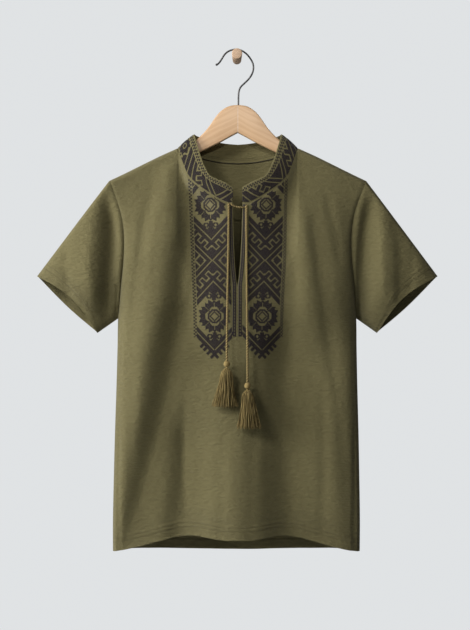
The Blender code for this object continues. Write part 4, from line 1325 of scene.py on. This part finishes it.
# the sewing thread is painted darker than the cloth, partly for the shade in the stitch grooves
SEWING_FINISH_WITH_GROOVE_SHADE = thread_finish("olive sewing thread with painted groove shade", rgb(104, 96, 62), rgb(66, 60, 36))
print("threads:", EMBROIDERY_FINISH.name, "and two for sewing")

# %% [markdown]
# ## Embroidered strips
# Two strips of cross stitch run down beside the slit. Their pattern is counted: two
# rosettes, with slanting bars and a meander between them, mirrored left and right and up
# and down. It could be charted cell by cell, but folk patterns follow a few rules of
# counting, and the rules are shorter to read. Rows and columns count from the crossing
# between the rosettes.

# %% Chart of the strips
CELL_WIDE = 0.00137      # one cross stitch
CELL_HIGH = 0.00141
CROSSING_Z = -0.3572     # height of the crossing between the two rosettes
TOP_ROW = 100
LOW_ROW = -123
EDGE_COLUMN = 26         # last column on either side of the strip's middle
ROSETTE_ROW = 68         # row of a rosette's middle
KEY = 16                 # length of one turn of the Greek key
TEETH = (20, 28, 37, 46)    # places of the comb's teeth along the strip's lower end
StripPlace = namedtuple("StripPlace", "z left right")
STRIP_PLACES = (
    StripPlace(-0.5252, -0.0386, 0.0429), StripPlace(-0.4516, -0.0386, 0.0429),
    StripPlace(-0.3572, -0.0425, 0.0477), StripPlace(-0.2613, -0.0465, 0.0501),
    StripPlace(-0.2200, -0.0480, 0.0512),
)
STRIP_CLEAR = 0.0080     # no cross stitch lies nearer to the slit than this


def rosette(a, k):
    """A scalloped wreath around a ring and a diamond, drawn from its middle."""
    far = max(a, abs(k), 0.72 * (a + abs(k)))
    angle = math.atan2(k, a)
    near = abs(abs(math.degrees(angle)) % 90 - 45)
    if far > 9.5 + 0.055 * near:
        scallop = 18.4 + 1.2 * math.cos(20 * angle)
        ray = abs(a - abs(k)) < 1 and far > 11 or a == 0 and far < 17
        return far < scallop and not ray
    if a + abs(k) <= 6:
        return a + abs(k) >= 5
    return 6.4 <= far <= 8.2 or abs(a - abs(k)) < 1 and far > 8


def stem(a, k):
    """A stalk under the wreath with a curl on either side."""
    curl = math.hypot(a - 6, k - 24.5)
    return a <= 2 + max(k - 26, 0) * 0.8 or 1.6 < curl < 3.4


def meander(inward, along):
    """Greek key between two bars: teeth from either side, in turn."""
    phase = (along + 6) % KEY
    return (2 <= phase < KEY / 2 and inward <= 15) or (phase >= KEY / 2 + 2 and inward >= 9)


def lower_end(k, a):
    """The strip's lower end, k rows below the rosette's middle: bars, then a comb of teeth."""
    reach, slant = k + a, k - a
    if reach <= 42:
        return reach <= 40 and a <= 24 or a == 0
    if reach <= 48:
        return a <= 23
    return reach <= 55 and any(abs(slant - tooth) <= 2 for tooth in TEETH)


def strip_stitched(row, column, outwards):
    """Whether a cell of a strip has a stitch; outwards is above zero away from the slit.
    a counts from the strip's middle, k from a rosette's, and s and t along two slants."""
    a = abs(column)
    if outwards > 0 and a > 22 and row > -94:
        return (row // 2 + column // 2) % 2 == 0
    if a > 24:
        return False
    q = abs(row) if abs(row) <= ROSETTE_ROW else 2 * ROSETTE_ROW - abs(row)
    k = ROSETTE_ROW - q
    if k + a <= 34:
        down = k if abs(row) <= ROSETTE_ROW else -k
        return rosette(a, down) if k <= 19 and a <= 20 else stem(a, k)
    if row < -ROSETTE_ROW:
        return lower_end(k, a)
    s, t = q - a, q + a
    if a > 21:
        return False
    if s >= 19:
        return s <= 24 or 27 <= s <= 33
    if s >= 7:
        return t < 13 or meander(s, t)
    if -7 <= s <= 6:
        return s not in (-1, 0)
    return s <= -10 and (a + q) % 12 < 9


strip_centre = {name: table_curve(STRIP_PLACES, "z", name) for name in SIDES_OF}
print("rows of the strips:", TOP_ROW - LOW_ROW + 1)

# %% [markdown]
# ## Stitching the strips
# Each cell of the chart is laid on the front's skin, so the stitches follow its folds. Hand
# work is never quite even, so each stitch is moved a touch. A ladder of thicker satin
# stitches binds each edge of the slit, as on a real shirt, and ends in a small foot.

# %% Stitched strips
BAND_INNER = 0.0014      # from the slit's edge to the ladder
BAND_COLUMN = 0.00185
BAND_ROW = 0.0026
BAND_END_Z = -0.4862
BAND_TOP_X = 0.012       # the ladder ends where the neckline is this far from the middle
OUT_OF_TRUE = 0.03       # a stitch is off by up to this share of its cell
FOOT = {0: (4,), 1: (3,), 2: (3,)}    # more columns in the lowest rows


def cell_corners(place, x, z, wide, high, rng):
    """Corners of a cell on a surface, each stitch a touch out of true."""
    x += rng.uniform(-OUT_OF_TRUE, OUT_OF_TRUE) * wide
    z += rng.uniform(-OUT_OF_TRUE, OUT_OF_TRUE) * high
    return [place(x + dx * wide, z + dz * high)
            for dx, dz in ((-0.5, -0.5), (0.5, -0.5), (0.5, 0.5), (-0.5, 0.5))]


def band_columns(row):
    """The stitched columns of the ladder in a row."""
    return ((0, 1, 2) if row % 2 == 0 else (0, 2)) + FOOT.get(row, ())


rng = random.Random(21)
for side_name, side in SIDES_OF.items():
    cells, band_cells = [], []
    for row in range(LOW_ROW, TOP_ROW + 1):
        z = CROSSING_Z + row * CELL_HIGH
        for column in range(-EDGE_COLUMN, EDGE_COLUMN + 1):
            x = strip_centre[side_name](z) + column * CELL_WIDE
            away = side * (x - sway(z))
            if away < slit_gap(z) + STRIP_CLEAR or z > neck_line["front"](away) - 2 * CELL_HIGH:
                continue
            if strip_stitched(row, column, column * side):
                cells.append(cell_corners(front_skin, x, z, CELL_WIDE, CELL_HIGH, rng))
    rows = int((neck_line["front"](BAND_TOP_X) - BAND_END_Z) / BAND_ROW)
    for row in range(rows):
        z = BAND_END_Z + row * BAND_ROW
        inner = slit_gap(z) + BAND_INNER
        for column in band_columns(row):
            x = side * (inner + (column + 0.5) * BAND_COLUMN) + sway(z)
            band_cells.append(cell_corners(front_skin, x, z, BAND_COLUMN, BAND_ROW, rng))
    lay_stitches("embroidery_" + side_name, cells, CROSS, EMBROIDERY_FINISH)
    lay_stitches("slit_band_" + side_name, band_cells, SATIN, EMBROIDERY_FINISH)

# %% [markdown]
# ## Embroidered collar
# The collar has a narrow chequered border under its folded edge and, below that, slanting
# bars, a meander and a flower. The cells are spaced evenly along the band, so the stitches
# follow it round the neck. The heavy part ends just behind the shoulders, and the border
# alone goes on round the back.

# %% Stitched collar
COLLAR_CELL = 0.0014
COLLAR_CELLS_HIGH = 20
COLLAR_MARGIN = 0.03        # share of the collar's height left bare at the seam and the fold
COLLAR_MIDDLE = {"left": 20, "right": 52}   # columns from the front end to the middle of the V
COLLAR_DENSE = 114          # columns of the heavy part
FLOWER = 74                 # columns from the V's middle to the flower's


def even_steps(place, pitch):
    """Shares along a curve that stand one pitch apart."""
    fine = 400
    spots = [place(n / fine) for n in range(fine + 1)]
    lengths = [0.0]
    for a, b in zip(spots, spots[1:]):
        lengths.append(lengths[-1] + (b - a).length)
    count = round(lengths[-1] / pitch)
    share = smooth_curve(lengths, [n / fine for n in range(fine + 1)])
    return [share(lengths[-1] * n / count) for n in range(count + 1)]


def collar_stitched(i, j, middle):
    """Whether a cell of the collar has a stitch; i runs from the front end, j up from the
    seam. p and t count along the two slants from the middle of the V."""
    if j >= 15:
        return j <= 18 and (i // 2 + (j + 1) // 2) % 2 == 0
    if i >= COLLAR_DENSE or j == 14:
        return False
    u = abs(i - middle)
    p, t = u - j, u + j
    if p <= 5:
        return p not in (-1, 0)
    if p <= 7:
        return False
    if p <= 14:
        return True
    if p <= 26:
        phase = (t + 4) % KEY
        return (2 <= phase < KEY / 2 and p <= 23) or (phase >= KEY / 2 + 2 and p >= 17)
    if p <= 52:
        return p not in (33, 34, 43, 44)
    petal = math.hypot(0.75 * (u - FLOWER), j - 7)
    scallop = petal + math.cos(9 * math.atan2(j - 7, u - FLOWER))
    return p > 54 and not 1.5 < petal < 3 and not 6.5 < scallop < 8.5


cells = []
for side_name, side in SIDES_OF.items():
    shares = even_steps(lambda u: collar_point(side, 2 * NECK_COLUMNS * u, 0.5), COLLAR_CELL)
    for i, (first, second) in enumerate(zip(shares, shares[1:])):
        near, far = sorted((first, second), reverse=side < 0)
        for j in range(COLLAR_CELLS_HIGH):
            if collar_stitched(i, j, COLLAR_MIDDLE[side_name]):
                low, high = (mix(COLLAR_MARGIN, 1 - COLLAR_MARGIN, n / COLLAR_CELLS_HIGH)
                             for n in (j, j + 1))
                cells.append([collar_point(side, 2 * NECK_COLUMNS * w, rise)
                              for w, rise in ((near, low), (far, low), (far, high), (near, high))])
lay_stitches("embroidery_collar", cells, CROSS, EMBROIDERY_FINISH)

# %% [markdown]
# ## Sewing
# A twin needle sews each hem with two rows of straight stitches. Inside the collar the
# back of the neck has two finer rows, and below them a dark overlocked line on the seam,
# whose dark thread also paints the shade in the seam. A row is a function of the way along
# and the height, so one loop sews hem, cuffs and neck.

# %% Sewing
STITCH_PITCH = 0.0031
STITCH_WIDTH = 0.00055
ROW_INSET = 0.004        # share of a hem left bare at either end of a row
NECK_START = NECK_COLUMNS + 0.6    # the neck's rows start just behind the shoulder seams
BACK_COLLAR = 0.030      # height of the collar at the back
NECK_ROWS = (0.0056, 0.0080)
NECK_PITCH = STITCH_PITCH * 0.8
# the dark overlock line lies on the seam and paints its shade as well
OVERLOCK_HEIGHT = 0.0009
OVERLOCK_WIDTH = 0.0012
OVERLOCK_PITCH = 0.0016


def run_cells(place, steps, height, width=STITCH_WIDTH):
    """Cells of one row of straight stitches at a height of the surface place(u, height)."""
    cells = []
    for a, b in zip(steps, steps[1:]):
        cells.append([place(a, height - width / 2), place(b, height - width / 2),
                      place(b, height + width / 2), place(a, height + width / 2)])
    return cells


def hem_place(face):
    """The surface of a panel's hem, by the way along and the height."""
    def place(u, height):
        across = (2 * u - 1) * FACING[face] * -1
        side, column = math.copysign(1, across), abs(across) * HALF_COLUMNS
        hem = hem_line[face](side_width(HEM_Z) * column / HALF_COLUMNS)
        share = height / (top_line(face, top_x(face, column)) - hem)
        return panel_point(face, side, column, share)
    return place


def cuff_place(side_name, side):
    """The surface of a cuff, by the way round and the height."""
    def place(u, height):
        t, face = around_sleeve(u if side > 0 else 1 - u)
        return sleeve_point(side_name, 1 - height / SLEEVE_LENGTH, t, face)
    return place


cells, seam_shade_cells = [], []
places = [hem_place(face) for face in FACES]
places += [cuff_place(side_name, side) for side_name, side in SIDES_OF.items()]
for place in places:
    steps = even_steps(lambda u: place(mix(ROW_INSET, 1 - ROW_INSET, u), STITCH_ROWS[0]),
                       STITCH_PITCH)
    steps = [mix(ROW_INSET, 1 - ROW_INSET, u) for u in steps]
    for height in STITCH_ROWS:
        cells += run_cells(place, steps, height)
for side in (-1, 1):
    def place(u, height):
        w = mix(NECK_START, 2 * NECK_COLUMNS, u if side > 0 else 1 - u)
        share = collar_place(w)[2]
        return collar_point(side, w, height / BACK_COLLAR) + neck_into(side, share) * COLLAR_CLOTH

    steps = even_steps(lambda u: place(u, NECK_ROWS[0]), NECK_PITCH)
    for height in NECK_ROWS:
        cells += run_cells(place, steps, height)
    steps = even_steps(lambda u: place(u, OVERLOCK_HEIGHT), OVERLOCK_PITCH)
    seam_shade_cells += run_cells(place, steps, OVERLOCK_HEIGHT, OVERLOCK_WIDTH)
lay_stitches("sewing", cells, RUN, SEWING_FINISH_WITH_GROOVE_SHADE)
lay_stitches("neck_seam_shade_line", seam_shade_cells, SATIN, SEAM_THREAD_AND_SHADE_FINISH)

# %% [markdown]
# ## Varnished wood
# The hanger and the peg are pale hardwood. Wood shows its yearly rings as soft bands and its
# pores as fine streaks along the grain. Both are noise, drawn out along a flat map that is
# turned to the grain, and a thin clear coat stands for the varnish.

# %% Wood
def wood(name, light, dark, ring_width, pores_across, relief):
    """Fine grain along the board, and soft bands where the yearly rings come out."""
    material, shader, flow = new_finish(name, 0.42, Coat_Weight=0.15, Coat_Roughness=0.3)
    flat, along, across = flat_place(flow)
    waver = streaks(flow, flat, (15.4, 154, 1), 4)
    pores = streaks(flow, flat, (40, pores_across, 1), 2)
    rings = ((across / ring_width + waver * 1.6) * (2 * math.pi)).sine() * 0.5 + 0.5
    cloud = speckle(flow, body_place(flow), 14, 2)
    tone = (rings * 0.3 + pores * 0.4 + cloud * 0.6 - 0.14).clamped(0.1, 0.9)
    flow.feed(shader.inputs["Base Color"], tone.blend(dark, light))
    flow.feed(shader.inputs["Roughness"], pores * 0.2 + 0.36)
    flow.feed(shader.inputs["Normal"], bump(flow, pores + rings * 0.3, relief))
    return material


WOOD_FINISH = wood("varnished hardwood", rgb(214, 179, 140), rgb(190, 150, 110),
                   ring_width=0.0085, pores_across=1400, relief=0.00005)
PEG_FINISH = wood("turned peg wood", rgb(208, 177, 148), rgb(194, 161, 132),
                  ring_width=0.0060, pores_across=420, relief=0.00001)
print("wood finishes:", WOOD_FINISH.name, "and", PEG_FINISH.name)

# %% [markdown]
# ## The hanger
# The hanger is two flat boards, sawn to a curve and glued end to end in the middle. A board
# could be an outline that is extruded and bevelled, but its edges change from nearly square
# at the middle to fully round under the cloth. So a grid is wrapped round its section and
# run along the arm, and the rounding changes on the way.

# %% Hanger boards
HANGER_X = 0.0015        # middle joint of the hanger
HANGER_HALF_THICKNESS = 0.0055
FLAT_EDGE = 0.0030       # rounding of the board's edges where it shows
Board = namedtuple("Board", "x top bottom")
HANGER_BOARD = (
    Board(0.0000, -0.0865, -0.1346), Board(0.0095, -0.0872, -0.1396),
    Board(0.0190, -0.0900, -0.1448), Board(0.0275, -0.0954, -0.1496),
    Board(0.0345, -0.1020, -0.1532), Board(0.0417, -0.1115, -0.1568),
    Board(0.0480, -0.1210, -0.1600), Board(0.0545, -0.1295, -0.1632),
    Board(0.0622, -0.1378, -0.1670), Board(0.0700, -0.1448, -0.1708),
    Board(0.0850, -0.1560, -0.1782), Board(0.1045, -0.1672, -0.1880),
    Board(0.1345, -0.1790, -0.2010), Board(0.1625, -0.1922, -0.2130),
    Board(0.1900, -0.2057, -0.2235), Board(0.2020, -0.2120, -0.2270),
    Board(0.2085, -0.2168, -0.2268), Board(0.2110, -0.2200, -0.2240),
)
ROUND_FROM = 0.050       # from here outwards the edges grow rounder
ROUND_OVER = 0.035
GRAIN_FALL = math.radians(27)    # each board is cut with its grain along the arm
GRAIN_SHIFT = 0.4        # moves the pattern, so that the two boards differ
GRAIN_DEPTH = 0.6        # share by which the rings shift through the board's thickness
BOARD_SIDES = 40
BOARD_RINGS = 60
board_top = table_curve(HANGER_BOARD, "x", "top")
board_bottom = table_curve(HANGER_BOARD, "x", "bottom")


def board_point(side, u, v):
    """Round the section with u and along the arm with v."""
    x = mix(CLEARANCE / 2, HANGER_BOARD[-1].x, v)
    top, bottom = board_top(x), board_bottom(x)
    half = (top - bottom) / 2
    most = min(HANGER_HALF_THICKNESS, half)
    rounder = ease((x - ROUND_FROM) / ROUND_OVER)
    rounding = min(mix(FLAT_EDGE, HANGER_HALF_THICKNESS, rounder), most)
    turn = 2 * math.pi * (u + 0.5 / BOARD_SIDES)
    y = (most - rounding) * math.copysign(1, math.cos(turn)) + rounding * math.cos(turn)
    z = (half - rounding) * math.copysign(1, math.sin(turn)) + rounding * math.sin(turn)
    return Vector((HANGER_X + side * x, HANGER_Y + y, (top + bottom) / 2 + z))


for side_name, side in SIDES_OF.items():
    mesh = placed_grid(BOARD_SIDES, BOARD_RINGS, lambda u, v: board_point(side, u, v),
                       wraps=True)
    flat = mesh.loops.layers.uv["flat"]
    for f in mesh.faces:
        for loop in f.loops:
            spot = loop.vert.co
            x = abs(spot.x - HANGER_X)
            along = x * math.cos(GRAIN_FALL) - spot.z * math.sin(GRAIN_FALL)
            across = x * math.sin(GRAIN_FALL) + spot.z * math.cos(GRAIN_FALL)
            loop[flat].uv = (along + GRAIN_SHIFT * side,
                             across + (spot.y - HANGER_Y) * GRAIN_DEPTH)
    close_ends(mesh)
    name = "hanger_" + side_name
    piece("board_" + name, mesh, WOOD_FINISH, [name])
    print(name, "board")

# %% [markdown]
# ## The hook
# The hook is one bent wire, screwed into the joint of the boards, with its tip melted into
# a small ball so that it doesn't catch cloth. It is a tube along the bends of the wire,
# whose radius swells at the tip. Drawn steel is smooth, with faint lines along it.

# %% Hook
WIRE = 0.0030            # diameter
WIRE_SIDES = 16
HOOK_RINGS = 180
HOOK_LENGTH = 0.166      # about, to place the ball
BALL = 0.0021            # radius of the tip
Bend = namedtuple("Bend", "x z")
HOOK_LINE = (
    Bend(-0.0373, -0.0170), Bend(-0.0322, -0.0142), Bend(-0.0272, -0.0075), Bend(-0.0224, 0.0002),
    Bend(-0.0168, 0.0058), Bend(-0.0095, 0.0092), Bend(-0.0010, 0.0106), Bend(0.0080, 0.0084),
    Bend(0.0160, 0.0030), Bend(0.0225, -0.0045), Bend(0.0270, -0.0125), Bend(0.0286, -0.0210),
    Bend(0.0268, -0.0305), Bend(0.0215, -0.0397), Bend(0.0135, -0.0480), Bend(0.0066, -0.0548),
    Bend(0.0034, -0.0620), Bend(0.0026, -0.0700), Bend(0.0024, -0.0862),
)


def steel(name):
    """Dark drawn wire: soft lines along it and a little change of tone."""
    material, shader, flow = new_finish(name, 0.34, Metallic=0.85)
    lines = streaks(flow, flat_place(flow)[0], (5, 30, 1), 2)
    shade = speckle(flow, body_place(flow), 90, 3).clamped(0.3, 0.8)
    flow.feed(shader.inputs["Base Color"], shade.blend(rgb(66, 66, 67), rgb(92, 91, 90)))
    flow.feed(shader.inputs["Roughness"], lines * 0.2 + 0.28)
    flow.feed(shader.inputs["Normal"], bump(flow, lines, 0.00001))
    return material


STEEL_FINISH = steel("dark drawn wire")


def wire_end(u, v):
    """The wire's radius: its tip is melted into a ball, closed by a cap a quarter as wide."""
    from_ball = v * HOOK_LENGTH - BALL
    if from_ball > 0:
        return max(math.sqrt(max(BALL ** 2 - from_ball ** 2, 0.0)), WIRE / 2)
    return math.sqrt(max(BALL ** 2 - from_ball ** 2, BALL ** 2 / 16))


hook_points = [Vector((bend.x, HANGER_Y, bend.z)) for bend in HOOK_LINE]
mesh, hook_length = tube_grid(hook_points, WIRE_SIDES, HOOK_RINGS, wire_end)
piece("wire_hook", close_ends(mesh), STEEL_FINISH, ["hanger_hook"])
print("hook wire", round(hook_length * 1000), "mm")

# %% [markdown]
# ## The wall peg
# A turned wooden peg stands straight out of the wall and holds the hook. It grows a little
# wider towards its front, so that the hook stays on, and its front rim is rounded. A cone
# turned to face the room gives it, and a bevel rounds the rim.

# %% Peg
PEG_LENGTH = 0.066
PEG_WALL_RADIUS = 0.0077
PEG_FRONT_RADIUS = 0.0090
PEG_BEVEL = 0.0010
PEG_SIDES = 64
mesh = bmesh.new()
mesh.loops.layers.uv.new("flat")
bmesh.ops.create_cone(mesh, cap_ends=True, segments=PEG_SIDES, radius1=PEG_WALL_RADIUS,
                      radius2=PEG_FRONT_RADIUS, depth=PEG_LENGTH, calc_uvs=True)
stand_out = Matrix.Translation((0, -PEG_LENGTH / 2, 0)) @ Matrix.Rotation(math.pi / 2, 4, "X")
bmesh.ops.transform(mesh, matrix=stand_out, verts=mesh.verts)
rim = [e for e in mesh.edges if all(v.co.y < -PEG_LENGTH * 0.9 for v in e.verts)]
bmesh.ops.bevel(mesh, geom=rim, offset=PEG_BEVEL, segments=3, profile=0.5, affect="EDGES",
                material=-1)
flat = mesh.loops.layers.uv["flat"]
for f in mesh.faces:
    for loop in f.loops:
        x, y, z = loop.vert.co
        on_end = abs(f.normal.y) > 0.5
        loop[flat].uv = (x, z) if on_end else (y, math.atan2(z, x) * PEG_FRONT_RADIUS)
bmesh.ops.recalc_face_normals(mesh, faces=mesh.faces)
piece("turned_peg", mesh, PEG_FINISH, ["wall_peg"])
print("peg", PEG_LENGTH * 1000, "mm long")

# %% [markdown]
# ## Beads
# Each cord runs through a small bead that is covered with wound yarn. The bead is a grid
# closed round an axis, like a globe without its poles, where the cord goes in and out. Its
# radius rises and falls a little, which gives the ridges of the yarn.

# %% Beads
BEAD_SIDES = 28
BEAD_RINGS = 18
BEAD_MOUTH = 0.18        # angle between the bead's axis and the rim of its hole, in radians
BEAD_RIDGES = 14
RIDGE_HEIGHT = 0.03      # share of the radius
RIDGE_LEAN = 5           # the ridges turn by this angle from top to bottom
BEAD_LENGTH = 0.011      # of the bead's flat map


def bead_place(centre):
    """The surface of a bead, by the way round and down."""
    def place(u, v):
        fall = mix(BEAD_MOUTH, math.pi - BEAD_MOUTH, v)
        around = 2 * math.pi * u
        ridge = 1 + RIDGE_HEIGHT * math.cos(BEAD_RIDGES * around + RIDGE_LEAN * v)
        radius = BEAD_RADIUS * math.sin(fall) ** 0.8 * ridge
        return centre + Vector((radius * math.cos(around), radius * math.sin(around),
                                BEAD_RADIUS * math.cos(fall)))
    return place


BEAD_FINISH = yarn_finish("wound yarn", rgb(166, 146, 97), rgb(126, 107, 64), (240, 240, 900))
for hang in HANGS:
    centre = Vector((cord_x(hang, hang.bead_z), cord_y(hang, hang.bead_z), hang.bead_z))
    mesh = placed_grid(BEAD_SIDES, BEAD_RINGS, bead_place(centre), (1.0, BEAD_LENGTH),
                       wraps=True)
    piece("yarn_bead_" + hang.side, close_ends(mesh), BEAD_FINISH,
                             ["bead_" + hang.side])
print("beads", BEAD_RADIUS * 2000, "mm across")

# %% [markdown]
# ## Tassels
# Under each bead hangs a tassel: a bundle of yarns tied together at the top. The yarns lie
# side by side from the tie, round over a small head and down in a bell that opens towards
# their uneven ends. A short table gives the bell's size at each height. Each yarn is its
# own thin tube with few sides, and some fall across their neighbours.

# %% Tassels
YARN = 0.00135           # thickness of one yarn
YARNS = 120
YARN_SIDES = 5
YARN_RINGS = 15
CROSSING = 0.18          # share of the yarns that fall across their neighbours
WIDE_TURN = 0.9          # these turn round the tassel by up to this angle
SMALL_TURN = 0.12        # and the others by this one
YARN_WAVE = 0.0009       # how far a yarn waves to either side
SHORTEST = 0.93          # length of the shortest yarn, as a share of the longest
THICKNESSES = (0.8, 1.15)
GOLDEN_ANGLE = 2.39996   # turning by this each time spreads any number of yarns evenly
Bell = namedtuple("Bell", "down half_wide forward back")
BELL = (
    Bell(0.0000, 0.0012, 0.0012, 0.0012), Bell(0.0022, 0.0042, 0.0040, 0.0034),
    Bell(0.0060, 0.0075, 0.0066, 0.0050), Bell(0.0120, 0.0100, 0.0082, 0.0056),
    Bell(0.0220, 0.0114, 0.0090, 0.0058), Bell(0.0380, 0.0148, 0.0100, 0.0060),
    Bell(0.0540, 0.0186, 0.0110, 0.0060), Bell(0.0690, 0.0236, 0.0120, 0.0062),
)
bell_curve = {name: table_curve(BELL, "down", name) for name in ("half_wide", "forward", "back")}
BELL_STEPS = (0.0, 0.035, 0.09, 0.18, 0.32, 0.5, 0.68, 0.84, 0.94, 1.0)


def tassel_mesh(hang, rng):
    """Yarns laid side by side from the tie, over the head and down to their cut ends."""
    head = Vector((cord_x(hang, hang.bead_z), cord_y(hang, hang.bead_z),
                   hang.bead_z - BEAD_RADIUS - CLEARANCE))
    mesh = bmesh.new()
    for n in range(YARNS):
        ring = math.sqrt((n + 0.5) / YARNS)
        angle = n * GOLDEN_ANGLE
        most = WIDE_TURN if rng.random() < CROSSING else SMALL_TURN
        turn = rng.uniform(-most, most)
        length = BELL[-1].down * rng.uniform(SHORTEST, 1.0) * (1.0 - 0.03 * ring)
        waves, phase = rng.uniform(3, 7), rng.uniform(0, 6.3)
        points = []
        for share in BELL_STEPS:
            down = share * length
            bearing = angle + turn * share
            across, deep = math.cos(bearing) * ring, math.sin(bearing) * ring
            reach = bell_curve["back" if deep > 0 else "forward"](down)
            wave = YARN_WAVE * math.sin(phase + waves * share) * min(share * 4, 1)
            x = across * bell_curve["half_wide"](down) + hang.tassel_shift * share + wave
            points.append(head + Vector((x, deep * reach, -0.0004 - down)))
        thick = rng.uniform(*THICKNESSES) * YARN / 2
        tube_grid(points, YARN_SIDES, YARN_RINGS,
                  lambda u, v: thick * mix(0.7, 1, ease(v * 8)), mesh)
    return close_ends(mesh)


# the dark colour is as dark as the shade between the yarns: the streaks are partly the yarn's
# uneven tone and partly painted shade
TASSEL_FINISH_WITH_SHADE = yarn_finish("tassel yarn with painted shade", rgb(172, 152, 100), rgb(62, 50, 25), (700, 700, 22))
rng = random.Random(11)
for hang in HANGS:
    piece("yarn_tassel_" + hang.side, tassel_mesh(hang, rng), TASSEL_FINISH_WITH_SHADE,
                               ["tassel_" + hang.side])
print("tassels with", YARNS, "yarns each")

# %% [markdown]
# ## Floor
# A plain pale floor lies far below, because the shirt hangs on a wall. It only catches light.

# %% Floor
FLOOR_Z = -1.9
FLOOR_HALF = 2.0
mesh = bmesh.new()
bmesh.ops.create_grid(mesh, x_segments=8, y_segments=8, size=FLOOR_HALF)
bmesh.ops.translate(mesh, vec=(0, 0, FLOOR_Z), verts=mesh.verts)
data = bpy.data.meshes.new("floor")
mesh.to_mesh(data)
mesh.free()
floor_finish, shader, flow = new_finish("pale floor", 0.8)
tone = speckle(flow, body_place(flow), 6, 3).clamped(0.2, 0.8)
flow.feed(shader.inputs["Base Color"], tone.blend(rgb(214, 216, 216), rgb(222, 224, 224)))
data.materials.append(floor_finish)
floor = bpy.data.objects.new("floor", data)
bpy.context.scene.collection.objects.link(floor)
print("floor", 2 * FLOOR_HALF, "m wide")

# %% [markdown]
# ## What the cloth was cut from
# The flat cut of each panel, sleeve and the collar is listed, and printed with the skin's
# own area beside the cut's area. The cords' lengths are printed where the cords are made;
# the loop below works them out again and keeps nothing.

# %% Cut sizes
for hang in HANGS:
    points = threaded_route(hang)
    path_curve(points)[1]
Cut = namedtuple("Cut", "name width length area")
CUTS = (
    Cut("front", 0.470, 0.715, 0.285), Cut("back", 0.465, 0.725, 0.305),
    Cut("sleeve_left", 0.400, 0.215, 0.062), Cut("sleeve_right", 0.400, 0.215, 0.062),
    Cut("collar", 0.440, 0.045, 0.0172),
)
for cut in CUTS:
    measured = sum(p.area for p in cloth[cut.name].data.polygons)
    print(cut.name, "skin area", round(measured, 4), "cut area", cut.area)
